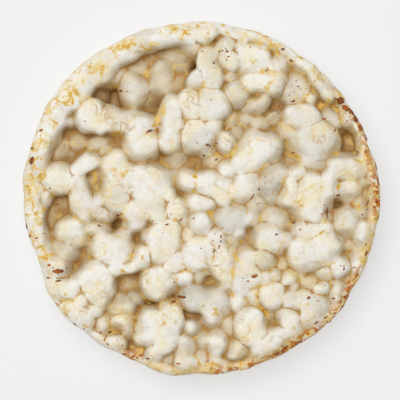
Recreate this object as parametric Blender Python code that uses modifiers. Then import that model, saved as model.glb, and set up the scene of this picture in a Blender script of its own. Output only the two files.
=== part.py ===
"""Puffed rice cake: a round cake of puffed grains that were pressed together in a hot mould.

Metres, +Z up. The cake lies flat, and its origin is the middle of its underside.
Three layers of grains, a rim and a wall are laid out and shaped in millimetres. They
overlap, so they are fused into one skin, thinned out, and trimmed flat underneath.
"""
import math
import random

import bmesh
import bpy
import numpy as np
from mathutils import Matrix

MM = 0.001
SEED = 17

# ---- the cake, mm and degrees ----
CAKE_RADIUS = 45.2
CAKE_HEIGHT = 16.5
WALL_WAVE = 0.5            # how far the outline wanders in and out of the radius
WALL_WAVES = 4
WALL_WAVE_TURN = 30.0

# ---- the mould that the grains were pressed in ----
TOP_SHOULDER = 4.6         # rounding from the wall into the top face
FOOT_SHOULDER = 2.4        # rounding from the wall into the underside
TOP_SOFTNESS = 0.6         # depth over which a grain flattens against the mould
FOOT_SOFTNESS = 0.3
FOOT_TRIM = 0.35           # what is cut off below, so that the feet are flat
TRIM_BLOCK = 0.12          # side of the block that cuts it off, in metres

# ---- a grain ----
GRAIN_LENGTH = 9.6
GRAIN_WIDTH = 6.8
GRAIN_THICKNESS = 7.0
GRAIN_SWELL = 1.02         # grains run on into each other by this much
GRAIN_BOXINESS = 2.2       # 2 is a plain oblong, more fills the corners
GRAIN_TILT = 9.0
LOBES = 4
LOBE_REACH = (-0.16, 0.20)  # shallowest dent and highest bulge, as shares of the grain's size
LOBE_SPREAD = 0.22

# ---- the layers ----
RIM_WIDTH = 6.2            # width of the pressed band round the top
RIM_WIDTH_SPREAD = 1.7     # the band is wider on one side by this much
RIM_WIDE_SIDE = 130.0
RIM_PITCH = 7.8            # spacing of the rim grains along the edge
RIM_DROP = 0.6
WALL_ROWS = (8.6, 3.6)     # heights of the two rows under the rim
WALL_THICKNESS = 6.4
LAYER_PITCH = 7.0
LOWER_PITCH = 7.6
MIDDLE_HEIGHT = 7.7
LOWER_HEIGHT = 2.8
LOWER_DROPS = (0.0, 0.0, 0.0, 0.5, 1.0)
LOWER_GAPS = 0.12          # share of the lower grains that are missing
FOOT_GRAIN = 11.0          # the broad grain that the middle of the cake stands on
FILL_PITCH = 4.6
FILL_LENGTH = 6.8
FILL_WIDTH = 5.2
FILL_DROP = 1.9            # how far the small grains lie below the pressed face
JITTER = 0.2               # how far a grain lies off its place, as a share of the pitch
CORE_RADIUS = 37.0
CORE_LOW = 5.2
CORE_HIGH = 9.0

# ---- the mesh ----
VOXEL = 0.9
TRIANGLES = 8000          # of the skin, before its feet are trimmed

# The broadest grains of the top face: x, y, length, width, turn of the long axis,
# and how far the grain's top lies below the pressed face.
TOP_GRAINS = (
    (-27.3, 20.5, 9.0, 6.8, 80, 0.0),
    (-18.5, 19.4, 13.5, 5.6, -5, 0.0),
    (-14.4, 13.3, 9.4, 7.4, 20, 0.0),
    (13.0, 34.4, 9.5, 8.2, 60, 0.0),
    (15.0, 29.3, 11.0, 6.2, 10, 0.3),
    (2.4, 23.4, 9.0, 8.4, 0, 0.0),
    (2.5, 30.0, 9.0, 5.5, 90, 0.2),
    (-2.4, 23.0, 8.5, 6.2, 80, 0.2),
    (-0.5, 15.6, 9.6, 8.2, 10, 0.0),
    (12.4, 11.0, 12.5, 7.2, 40, 0.0),
    (10.7, 4.2, 7.6, 6.2, 75, 0.0),
    (3.6, 3.0, 12.0, 7.0, -8, 0.0),
    (0.4, -1.2, 9.5, 5.8, 8, 0.3),
    (-21.2, 4.6, 16.0, 8.0, 86, 0.0),
    (-13.2, 3.0, 12.5, 10.0, 120, 0.0),
    (-15.4, -2.6, 10.0, 7.0, 20, 0.2),
    (-35.2, 4.8, 9.5, 7.2, 22, 0.0),
    (-29.8, 0.6, 12.4, 5.4, 103, 0.0),
    (-33.6, -7.8, 9.0, 5.8, 5, 0.2),
    (-22.0, -13.0, 11.5, 7.8, -10, 0.0),
    (-9.6, -9.6, 10.5, 9.5, 60, 0.0),
    (-1.2, -13.6, 9.8, 8.4, 90, 0.0),
    (5.8, -14.8, 10.5, 5.4, 95, 0.2),
    (8.2, -5.6, 11.5, 8.6, -5, 0.0),
    (27.0, 14.2, 13.0, 10.2, 20, 0.0),
    (17.2, 3.8, 12.4, 7.6, 62, 0.1),
    (26.9, 0.0, 13.4, 9.0, 88, 0.0),
    (35.8, 8.3, 11.0, 7.0, -5, 0.0),
    (16.8, -10.4, 10.2, 8.2, 10, 0.0),
    (27.4, -12.0, 14.5, 8.0, 32, 0.0),
    (23.2, 25.8, 10.4, 9.0, -10, 0.2),
    (24.0, 19.6, 10.2, 6.6, -5, 0.0),
    (-26.0, -21.2, 12.5, 8.6, 82, 0.0),
    (-10.4, -20.4, 12.0, 8.4, 28, 0.0),
    (-0.8, -24.2, 14.5, 7.6, -8, 0.0),
    (-13.2, -31.6, 11.0, 6.6, 62, 0.0),
    (-8.0, -32.0, 13.0, 6.8, 78, 0.0),
    (11.8, -31.2, 10.5, 7.4, 85, 0.0),
    (10.8, -17.8, 12.4, 7.2, 86, 0.0),
    (17.8, -23.6, 8.2, 6.6, 60, 0.3),
    (28.0, -27.4, 8.8, 7.2, 10, 0.0),
    (22.0, -31.0, 9.6, 6.8, 110, 0.1),
)

# Pockets, where no grain reached the mould: x, y, length, width, turn, depth.
POCKETS = (
    (-9.5, 30.5, 17.0, 12.0, 30, 3.6),
    (-23.0, 26.2, 6.0, 6.0, 0, 7.0),
    (-32.8, 13.0, 10.0, 8.0, 0, 4.4),
    (-26.2, 4.8, 8.5, 3.8, 85, 4.2),
    (-36.6, -4.4, 9.0, 5.0, 90, 4.6),
    (-20.8, -5.6, 4.6, 3.6, 0, 5.6),
    (-29.6, -14.0, 10.0, 3.6, 70, 4.6),
    (-16.2, -9.6, 6.0, 3.8, 80, 5.0),
    (-19.0, -23.0, 10.0, 8.0, 80, 4.6),
    (-1.4, -33.4, 9.0, 7.6, 90, 3.8),
    (17.0, -29.4, 5.0, 3.8, 90, 5.6),
    (22.2, -5.0, 5.0, 3.6, 120, 4.6),
    (32.6, -2.6, 6.0, 4.4, 90, 5.4),
    (36.0, 14.6, 8.0, 5.0, 80, 6.4),
    (29.6, 25.0, 8.0, 4.0, 120, 5.6),
    (22.0, 31.6, 4.6, 3.6, 0, 4.6),
    (-7.0, 9.4, 8.0, 5.0, 0, 2.8),
    (35.6, -11.4, 6.0, 5.0, 0, 3.2),
)


def clear_scene():
    for item in list(bpy.data.objects):
        bpy.data.objects.remove(item, do_unlink=True)


def new_collection(name):
    collection = bpy.data.collections.new(name)
    bpy.context.scene.collection.children.link(collection)
    return collection


# ---- where the grains lie ----

def grain(x, y, z, length, width, thickness, turn):
    return {"centre": (x, y, z), "size": (length, width, thickness), "turn": turn}


def grain_under_top(x, y, length, width, turn, drop):
    """A grain whose top lies `drop` below the pressed face."""
    thickness = min(GRAIN_THICKNESS, (width + GRAIN_THICKNESS) / 2)
    z = CAKE_HEIGHT - drop - thickness / 2
    return grain(x, y, z, length, width, thickness, turn)


def grain_at_wall(bearing, inset, z, length, width, thickness):
    """A grain that lies along the wall, its middle `inset` inside the outline."""
    rho = wall_radius(bearing) - inset
    turn = math.degrees(bearing) + 90
    return grain(rho * math.cos(bearing), rho * math.sin(bearing), z, length, width, thickness, turn)


def reach_in_oval(x, y, oval):
    """Distance from an oval's middle, 1 on its edge."""
    middle_x, middle_y, length, width, turn = oval[:5]
    angle = math.radians(turn)
    dx = x - middle_x
    dy = y - middle_y
    along = (dx * math.cos(angle) + dy * math.sin(angle)) / (length / 2)
    across = (dy * math.cos(angle) - dx * math.sin(angle)) / (width / 2)
    return math.hypot(along, across)


def pocket_depth(x, y):
    """Depth of the pocket at a place, or 0 outside every pocket."""
    depths = [pocket[5] for pocket in POCKETS if reach_in_oval(x, y, pocket) < 1.0]
    return max(depths, default=0.0)


def wall_radius(bearing):
    """The cake's outline: nearly round, with a slow wander."""
    return CAKE_RADIUS + WALL_WAVE * np.cos(WALL_WAVES * (bearing - math.radians(WALL_WAVE_TURN)))


def staggered_places(pitch, radius, rng):
    """Places on a triangular grid inside a circle, each a little off its place."""
    rows = int(radius / pitch) + 2
    for row in range(-rows, rows + 1):
        for column in range(-rows, rows + 1):
            x = (column + 0.5 * (row % 2) + rng.uniform(-JITTER, JITTER)) * pitch
            y = (row * math.sqrt(0.75) + rng.uniform(-JITTER, JITTER)) * pitch
            if math.hypot(x, y) < radius:
                yield x, y


def top_grains(rng):
    """The broad grains that show."""
    for row in TOP_GRAINS:
        yield grain_under_top(*row)


def rim_grains(rng):
    """The pressed band round the top edge."""
    count = round(math.tau * CAKE_RADIUS / RIM_PITCH)
    for index in range(count):
        bearing = math.tau * (index + rng.uniform(-JITTER, JITTER)) / count
        side = math.cos(bearing - math.radians(RIM_WIDE_SIDE))
        width = RIM_WIDTH + RIM_WIDTH_SPREAD * side + rng.uniform(-0.4, 0.4)
        length = RIM_PITCH * rng.uniform(1.3, 1.6)
        drop = rng.uniform(0.0, RIM_DROP)
        z = CAKE_HEIGHT - drop - GRAIN_THICKNESS / 2
        yield grain_at_wall(bearing, width / 2 - 0.5, z, length, width, GRAIN_THICKNESS)


def wall_grains(rng):
    """Two rows of grains round the side, under the rim."""
    count = round(math.tau * CAKE_RADIUS / RIM_PITCH)
    for number, height in enumerate(WALL_ROWS):
        for index in range(count):
            bearing = math.tau * (index + number / 2 + rng.uniform(-JITTER, JITTER)) / count
            inset = GRAIN_WIDTH / 2 + rng.uniform(-0.7, 0.5)
            length = GRAIN_LENGTH * rng.uniform(0.95, 1.2)
            z = height + rng.uniform(-0.6, 0.6)
            yield grain_at_wall(bearing, inset, z, length, GRAIN_WIDTH, WALL_THICKNESS)


def middle_grains(rng):
    """The layer that shows at the bottom of the pockets."""
    for x, y in staggered_places(LAYER_PITCH, CAKE_RADIUS - RIM_WIDTH, rng):
        z = MIDDLE_HEIGHT + rng.uniform(-0.5, 0.5)
        turn = rng.uniform(0, 180)
        depth = pocket_depth(x, y)
        if depth:
            z = CAKE_HEIGHT - depth - GRAIN_THICKNESS / 2
        yield grain(x, y, z, GRAIN_LENGTH, LAYER_PITCH, GRAIN_THICKNESS, turn)


def lower_grains(rng):
    """The layer that the cake stands on: one broad grain in the middle, a few others missing."""
    yield grain(0, 0, LOWER_HEIGHT, FOOT_GRAIN, FOOT_GRAIN, GRAIN_THICKNESS, 0)
    for x, y in staggered_places(LOWER_PITCH, CAKE_RADIUS - GRAIN_THICKNESS / 2, rng):
        missing = rng.random() < LOWER_GAPS
        z = LOWER_HEIGHT + rng.choice(LOWER_DROPS)
        turn = rng.uniform(0, 180)
        length = GRAIN_LENGTH * rng.uniform(0.9, 1.15)
        if not missing:
            yield grain(x, y, z, length, LOWER_PITCH, GRAIN_THICKNESS, turn)


def fill_grains(rng):
    """Smaller grains, a little lower, between the broad ones."""
    for x, y in staggered_places(FILL_PITCH, CAKE_RADIUS - RIM_WIDTH, rng):
        drop = FILL_DROP * rng.uniform(0.3, 1.4)
        turn = rng.uniform(0, 180)
        covered = any(reach_in_oval(x, y, row) < 1.0 for row in TOP_GRAINS)
        if not covered and not pocket_depth(x, y):
            yield grain_under_top(x, y, FILL_LENGTH, FILL_WIDTH, turn, drop)


# ---- how a grain is shaped ----

def turned(points, axis, degrees):
    """Points turned about one axis, given as 0, 1 or 2."""
    angle = math.radians(degrees)
    first = (axis + 1) % 3
    second = (axis + 2) % 3
    result = points.copy()
    result[:, first] = points[:, first] * math.cos(angle) - points[:, second] * math.sin(angle)
    result[:, second] = points[:, first] * math.sin(angle) + points[:, second] * math.cos(angle)
    return result


def swollen(directions, rng):
    """Unit directions pushed out to a boxy ball with soft lobes."""
    powers = np.power(np.abs(directions), GRAIN_BOXINESS).sum(axis=1)
    reach = np.power(powers, -1.0 / GRAIN_BOXINESS)
    for _ in range(LOBES):
        lobe = np.array([rng.gauss(0, 1), rng.gauss(0, 1), rng.gauss(0, 1)])
        lobe /= np.linalg.norm(lobe)
        reach = reach + rng.uniform(*LOBE_REACH) * np.exp((directions @ lobe - 1.0) / LOBE_SPREAD)
    return directions * reach[:, None]


def pressed(points):
    """Points kept inside the mould: those that would pass its face flatten against it."""
    bearing = np.arctan2(points[:, 1], points[:, 0])
    rho = np.hypot(points[:, 0], points[:, 1])
    middle = CAKE_HEIGHT / 2
    upper = points[:, 2] > middle
    shoulder = np.where(upper, TOP_SHOULDER, FOOT_SHOULDER)
    softness = np.where(upper, TOP_SOFTNESS, FOOT_SOFTNESS)
    half = np.where(upper, middle, middle + FOOT_TRIM)
    out = rho - (wall_radius(bearing) - shoulder)
    up = np.abs(points[:, 2] - middle) - (half - shoulder)
    corner = np.hypot(np.maximum(out, 0), np.maximum(up, 0))
    depth = corner + np.minimum(np.maximum(out, up), 0) - shoulder
    rounded = (out > 0) & (up > 0)
    divisor = np.where(rounded, corner, 1.0)
    outward = np.where(rounded, out / divisor, out > up)
    upward = np.where(rounded, up / divisor, out <= up)
    flattened = -softness * np.exp(-(depth + softness) / softness)
    shift = np.where(depth > -softness, flattened - depth, 0.0)
    result = points.copy()
    scale = 1.0 + outward * shift / np.maximum(rho, MM)
    result[:, 0] *= scale
    result[:, 1] *= scale
    result[:, 2] += upward * shift * np.where(upper, 1.0, -1.0)
    return result


def add_grain(mesh, item, rng):
    """One puffed grain, in mm."""
    ball = bmesh.ops.create_icosphere(mesh, subdivisions=3, radius=1.0)["verts"]
    directions = np.array([vert.co for vert in ball])
    points = swollen(directions, rng) * (np.array(item["size"]) * GRAIN_SWELL / 2)
    points = turned(points, 0, rng.uniform(-GRAIN_TILT, GRAIN_TILT))
    points = turned(points, 1, rng.uniform(-GRAIN_TILT, GRAIN_TILT))
    points = turned(points, 2, item["turn"])
    points = pressed(points + np.array(item["centre"]))
    for vert, point in zip(ball, points):
        vert.co = point


def add_core(mesh):
    """A disc inside the cake, so that nothing is seen right through it."""
    disc = bmesh.ops.create_cone(
        mesh, cap_ends=True, segments=48, radius1=CORE_RADIUS, radius2=CORE_RADIUS, depth=CORE_HIGH - CORE_LOW)
    bmesh.ops.translate(mesh, verts=disc["verts"], vec=(0, 0, (CORE_LOW + CORE_HIGH) / 2))


# ---- the cake ----

def laid_out_grains():
    """A mesh of every grain and the core, each still whole."""
    mesh = bmesh.new()
    layers = (top_grains, rim_grains, wall_grains, middle_grains, lower_grains, fill_grains)
    for number, layer in enumerate(layers):
        places = random.Random(SEED + number)
        shapes = random.Random(SEED - number)
        for item in layer(places):
            add_grain(mesh, item, shapes)
    add_core(mesh)
    return mesh


def fused(grains):
    """The overlapping grains as one skin, in metres."""
    loose = bpy.data.meshes.new("loose_grains")
    grains.to_mesh(loose)
    loose.transform(Matrix.Scale(MM, 4))
    holder = bpy.data.objects.new("loose_grains", loose)
    bpy.context.scene.collection.objects.link(holder)
    remesh = holder.modifiers.new("fuse", "REMESH")
    remesh.mode = "VOXEL"
    remesh.voxel_size = VOXEL * MM
    graph = bpy.context.evaluated_depsgraph_get()
    skin = bpy.data.meshes.new_from_object(holder.evaluated_get(graph))
    bpy.data.objects.remove(holder, do_unlink=True)
    bpy.data.meshes.remove(loose)
    return skin


def linked_verts(start):
    """Every vertex that edges join to this one."""
    found = {start}
    queue = [start]
    while queue:
        vert = queue.pop()
        for edge in vert.link_edges:
            other = edge.other_vert(vert)
            if other not in found:
                found.add(other)
                queue.append(other)
    return found


def keep_outer_skin(skin):
    """Take away the skins of the gaps that are sealed inside the cake."""
    mesh = bmesh.new()
    mesh.from_mesh(skin)
    lowest = min(mesh.verts, key=lambda vert: vert.co.z)
    outer = linked_verts(lowest)
    inner = [vert for vert in mesh.verts if vert not in outer]
    bmesh.ops.delete(mesh, geom=inner, context="VERTS")
    mesh.to_mesh(skin)
    mesh.free()


def trim_block(collection):
    """The block that cuts the feet flat."""
    bpy.ops.mesh.primitive_cube_add(size=TRIM_BLOCK, location=(0, 0, -TRIM_BLOCK / 2))
    block = bpy.context.object
    block.name = "foot_trim"
    block.hide_render = True
    block.display_type = "WIRE"
    for holder in list(block.users_collection):
        holder.objects.unlink(block)
    collection.objects.link(block)
    return block


def puffed_grain_material():
    material = bpy.data.materials.new("puffed_grain")
    material.use_nodes = True
    shader = material.node_tree.nodes["Principled BSDF"]
    shader.inputs["Base Color"].default_value = (0.80, 0.70, 0.52, 1.0)
    shader.inputs["Roughness"].default_value = 0.75
    shader.inputs["Metallic"].default_value = 0.0
    return material


def make_cake(collection, trim):
    grains = laid_out_grains()
    skin = fused(grains)
    grains.free()
    keep_outer_skin(skin)
    skin.name = "rice_cake_body"
    skin.materials.clear()
    skin.materials.append(puffed_grain_material())
    skin.shade_smooth()
    skin.calc_loop_triangles()

    cake = bpy.data.objects.new("rice_cake_body", skin)
    collection.objects.link(cake)
    thin = cake.modifiers.new("thin_out", "DECIMATE")
    thin.ratio = TRIANGLES / len(skin.loop_triangles)
    flatten = cake.modifiers.new("flat_feet", "BOOLEAN")
    flatten.operation = "DIFFERENCE"
    flatten.object = trim


def main():
    clear_scene()
    cake_parts = new_collection("puffed_rice_cake")
    cutters = new_collection("cutters")
    make_cake(cake_parts, trim_block(cutters))


main()
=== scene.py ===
"""Puffed rice cake: puffed grains fused into one cake, with bran flecks and toasted edges.

Laid out as an add-on. One operator makes each piece, one makes the stage, and a panel in
the sidebar lists them. Run as a script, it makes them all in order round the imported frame.
Grains are laid out in millimetres and degrees, and every mesh is in metres.
"""
import math
import random

import bmesh
import bpy
import numpy as np
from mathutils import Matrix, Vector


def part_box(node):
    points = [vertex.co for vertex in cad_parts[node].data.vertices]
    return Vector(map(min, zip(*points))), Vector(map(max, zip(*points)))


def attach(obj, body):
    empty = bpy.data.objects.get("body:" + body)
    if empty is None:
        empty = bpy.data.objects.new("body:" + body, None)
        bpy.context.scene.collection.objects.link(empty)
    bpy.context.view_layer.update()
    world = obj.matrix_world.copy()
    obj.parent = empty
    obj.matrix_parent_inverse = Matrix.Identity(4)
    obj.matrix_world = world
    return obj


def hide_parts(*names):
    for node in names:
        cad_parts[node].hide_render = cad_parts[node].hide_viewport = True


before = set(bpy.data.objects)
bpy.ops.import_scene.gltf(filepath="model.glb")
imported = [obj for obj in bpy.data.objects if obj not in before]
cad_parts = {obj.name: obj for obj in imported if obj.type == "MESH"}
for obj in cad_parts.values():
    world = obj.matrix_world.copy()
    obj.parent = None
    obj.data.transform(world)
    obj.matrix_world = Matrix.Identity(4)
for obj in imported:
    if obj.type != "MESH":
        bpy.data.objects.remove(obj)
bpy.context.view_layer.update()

import openvdb
from mathutils import Vector
from mathutils.bvhtree import BVHTree

bl_info = {
    "name": "Puffed Rice Cake",
    "version": (1, 0, 0),
    "blender": (4, 5, 0),
    "location": "3D View > Sidebar > Rice Cake",
    "description": "Makes a puffed rice cake from fused grains, bran flecks and a pale stage",
    "category": "Add Mesh",
}

NODE = "rice_cake_body"
BODY_LOW, BODY_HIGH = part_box(NODE)

MM = 0.001
SEED = 17
BLEND_SEED = SEED + 50     # where the crisp and soft places lie
CRUMPLE_SEED_STEP = 10     # from one pull's seeds to the next one's, so that they share none

# Lengths below are in millimetres and angles in degrees, unless a comment says otherwise.

# ---- the cake ----
PRESS_MARGIN = 0.6         # the mould lies this far inside the finished cake's farthest points
CAKE_RADIUS = (BODY_HIGH.x - BODY_LOW.x) / 2 / MM - PRESS_MARGIN
CAKE_HEIGHT = BODY_HIGH.z / MM
WALL_BUMPS = ((17, 0.12, 5.2), (29, 0.10, 0.4))  # small bumps all round: count, height, turn in radians
# Where the edge lies outside or inside the round: bearing, height, and how far it spreads.
WALL_SWELLS = (
    (5.0, 0.5, 10.0), (-5.0, 0.6, 3.5), (50.0, -0.7, 34.0), (140.0, 0.75, 16.0),
    (172.0, 0.3, 8.0), (200.0, -0.9, 8.0), (218.0, 0.8, 10.0), (245.0, -0.4, 8.0),
    (260.0, 0.5, 6.0), (270.0, -0.4, 5.0), (300.0, -0.4, 8.0), (321.0, 0.4, 10.0),
)

# ---- the mould that the grains were pressed in ----
TOP_SHOULDER = 4.6         # rounding from the wall into the top face
FOOT_SHOULDER = 2.4        # rounding from the wall into the underside
PRESS_BLEND = 0.55         # how softly a grain flattens against the mould
FOOT_TRIM = 0.35           # what is pressed flat below

# ---- a grain ----
GRAIN_LENGTH = 9.6
GRAIN_WIDTH = 6.8
GRAIN_THICKNESS = 7.0
GRAIN_SWELL = 1.2          # a grain is puffed up to this many times its size, into its neighbours
GRAIN_TILT = 9.0           # a grain leans by up to this much
GRAIN_BLENDS = (0.2, 0.6)  # how softly grains run into each other: in crisp places, and in soft ones
BLEND_PATCH = 7.0          # how wide the crisp and soft places are
BLEND_SHARES = (-0.25, 0.4)  # values of a noise between which crisp turns into soft
SWELLING = 0.9             # soft blending swells the grains by this much of its width
BALL_BLEND = 0.5           # how softly the balls of one grain run into each other
BALL_INSET = 0.54          # balls are this much smaller, because blending swells them
BALLS_PER_WIDTH = 3.0      # balls along a grain, for each width of its length
BALL_REACH = 0.15          # shortest row of balls, as a share of the width
BALL_WANDER = 0.06         # how far a ball lies off the grain's axis, as a share of its width
BALL_SWELL = (0.93, 1.07)  # a ball's radius, as a share of half the width
KNOBS = 3                  # smaller balls that stick out of each grain
KNOB_CLIMB = (-0.3, 1.1)   # how steeply a knob points up, in radians
KNOB_REACH = (0.35, 0.7)   # how far out it sits, as a share of its ball's radius
KNOB_RADIUS = (0.3, 0.42)  # its radius, as a share of the grain's width

# ---- the skin's unevenness ----
LUMPS = ((4.6, 0.42), (2.3, 0.24), (1.3, 0.06))  # width and height
CRUMPLES = ((4.8, 0.5),)   # width and reach of the pull that crumples the grains

# ---- the pressed rim band round the top ----
RIM_WIDTH = 3.6            # where it is narrow
RIM_WIDTH_SPREAD = 3.1     # it is wider on one side by this much
RIM_WIDE_SIDE = 140.0      # bearing of its wide side
RIM_SHARPNESS = 1.5        # how quickly it narrows away from its wide side
RIM_LOW_SIDE = 2.4         # how much lower it is on its narrow side
RIM_PITCH = 7.8            # spacing of its grains along the edge
RIM_LENGTHS = (1.3, 1.6)   # their length, as a share of the spacing
RIM_WIDTH_JITTER = 0.4     # their width varies by this much
RIM_OVERHANG = 0.5         # how far they reach past the round
RIM_DROP = (0.1, 0.7)      # how far they lie under the mould
RIM_MIDDLE = 11.9          # height of the middle of the smooth band between them
RIM_DEEP = 8.0             # that band's height
RIM_ROUND = 1.8            # rounding of its edges
RIM_SINK = 0.8             # share of a pocket's depth that the pocket takes off the rim
RIM_SINK_SPAN = (0.7, 1.25)  # from where to where in a pocket's oval the rim sinks
RIM_WANDER = ((5, 0.6), (9, 2.1), (14, 4.0), (23, 1.0))  # waves in its width: count, turn in radians
RIM_WANDER_DEPTH = 0.35    # how high each of these waves is

# ---- the wall ----
WALL_ROWS = (8.6, 3.6)     # heights of the two rows of grains under the rim
WALL_THICKNESS = 6.4
WALL_LENGTHS = (0.95, 1.2)  # length of a grain, as a share of a plain one
WALL_INSETS = (-0.7, 0.5)  # how far a grain lies off its row, outwards and inwards
WALL_HEIGHT_JITTER = 0.6   # how far a grain lies above or below its row
WALL_POCKET_INSET = 7.0    # how far behind the wall a pocket is looked for
WALL_POCKET_MARGIN = 1.5   # how near a pocket counts
WALL_POCKET_DROP = 2.4     # how much lower the wall's grains are behind a pocket

# ---- the layers under the top face ----
JITTER = 0.2               # how far a grain lies off its place, as a share of the pitch
LAYER_PITCH = 7.0          # spacing in the middle layer
MIDDLE_HEIGHT = 7.7        # height of the middle layer
MIDDLE_HEIGHT_JITTER = 0.5  # how far one of its grains lies above or below that
MIDDLE_MARGIN = 1.5        # how near a pocket has to be for the middle layer to rise or sink to its floor
LOWER_PITCH = 7.6          # spacing in the lower layer
LOWER_HEIGHT = 2.8         # height of the lower layer
LOWER_RISES = (0.0, 0.0, 0.0, 0.5, 1.0)  # how far a lower grain lies above that, each as likely
LOWER_LENGTHS = (0.9, 1.15)  # length of a lower grain, as a share of a plain one
LOWER_GAPS = 0.12          # share of the lower grains that are missing
FOOT_GRAIN = 11.0          # the broad grain that the middle of the cake stands on
FILL_PITCH = 5.2           # spacing of the small grains between the ones that show
FILL_MARGIN = 3.5          # how far inside the round they end
FILL_LENGTH = 7.6
FILL_WIDTH = 6.0
FILL_POCKET_MARGIN = 2.0   # how far they keep from a pocket
FILL_DROP = 3.2            # how far they lie below the pressed face
FILL_DROP_SHARES = (0.7, 1.3)  # the least and the most of that drop
CORE_RADIUS = 37.0         # the disc that closes the cake's inside
CORE_LOW = 5.2
CORE_HIGH = 7.5

# ---- the top face ----
TOP_PUSH = 0.3             # a grain without a drop reaches this far out of the mould, and is pressed flat
TOP_DOME = 1.18            # a top grain's thickness, beside the mean of its width and a plain thickness
DROP_SPREAD = 0.4          # they lie up to this much lower than laid out

# ---- the grid that the grains are fused on ----
FIELD_MARGIN = 2.0         # how far it reaches past the cake
BLEND_REACH = 2.2          # how far outside its balls a grain still counts
CLEAR = 13.0               # far enough outside a shape to add nothing
FAR = 9.0                  # farther from a point than any grain that counts

# ---- how the skin is coloured ----
SEAM_WIDTH = 3.0           # how far from a seam the painted shade on its flanks ends
FOLD_ROUNDS = 6            # rounds of smoothing that find the fine folds
FOLD_DEPTHS = (0.0, 0.07)  # from where a fold counts to where it is full
VALLEY_ROUNDS = 60         # rounds of smoothing that find the valleys between grains
VALLEY_DEPTHS = (-0.05, 0.75)  # from where a valley counts to where it is full
TINT_ROUNDS = 2            # rounds of smoothing that soften the grains' tints and the sky's shade
VEINED_SEAMS = (-1.6, -0.3)  # how far beside a seam between two grains its veins start, and are full
SEAM_VEINS = 0.5           # how thick they lie there
LOOKS_HEIGHTS = (6.0, 11.5)  # heights between which veins and toast grow to their full strength
SIDE_TOAST = 0.25          # share of the toast that is left low on the wall
SIDE_VEINS = 0.2           # share of the veins that is left there
# Sides of the cake: a bearing, and the cosines away from it where a look starts and is full.
TOAST_RIGHT = (-25.0, 0.35, 0.85)
TOAST_BOTTOM = (-90.0, 0.75, 0.97)
VEINS_LEFT = (150.0, 0.1, 0.8)
VEINS_RIGHT = (48.0, 0.7, 0.95)
TOAST_BOTTOM_SHARE = 0.9   # how strong the toast is along the bottom
TOAST_REACH = (-3.6, -1.2)  # how far from the outline toast starts, and where it is full
VEINS_REACH = (37.0, 40.5)  # distances from the middle between which the rim's veins start
RIM_VEINS = 0.35           # how thick veins lie on the rim's plainer parts
STAIN_SPAN = (0.35, 1.35)  # from where to where in its oval a stain fades
GREY_SPAN = (0.6, 1.15)    # from where to where a greyer grain does

# ---- how much sky each point sees ----
SKY_LIFT = 0.5             # how far off the skin a look at the sky starts
SKY_SOFTNESS = 0.4         # how near a look may pass the skin and still be clear
SKY_RINGS = ((10, 10), (28, 10), (48, 8), (72, 6))  # how high each ring of looks points, and how many it has
SKY_STEPS = (0.7, 1.3, 2.0, 2.8, 3.8, 5.0, 6.5, 8.5, 11.0)  # how far along a look the skin is felt for
SKY_EDGE = (4.5, 1.5)      # how far inside the round the edge starts to see the whole sky, and does

# ---- bran flecks ----
FLECK_CORNERS = 11
FLECK_RAGGED = (0.65, 1.2)  # how far each corner lies from the middle, as a share of the size
FLECK_LIFT = 0.12          # how far the middle stands off the skin
FLECK_RINGS = ((0.45, 0.11), (0.8, 0.08), (1.0, -0.03))  # share of the way out, and how far off the skin
FLECK_ROOT = 0.3           # how deep the flake is sunk
FLECK_REACH = 1.2          # a flake bends down by this much at most
FLECK_COMPANY = 0.8        # share of the small flecks that lie near a big one
FLECK_SPREAD = 1.6         # how near
FLECK_MARGIN = 1.0         # how far inside the round the others end
FLECK_LENGTHS = (0.25, 0.8)
FLECK_WIDTHS = (0.16, 0.4)

# ---- the stage, in metres ----
FLOOR_GREY = (0.40, 0.40, 0.40)
FLOOR_GLOW = 0.49          # light the floor gives off, which keeps shadows on it faint
WHITE = (1.0, 1.0, 1.0)
KEY_PLACE = Vector((-0.30, 0.36, 1.5))  # the soft light's place, from where it faces the cake
CAMERA_PLACE = (-0.00025, -0.0004)  # the camera stands this far off the middle
CAMERA_NEAR = 0.01         # nothing nearer to the camera shows

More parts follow.
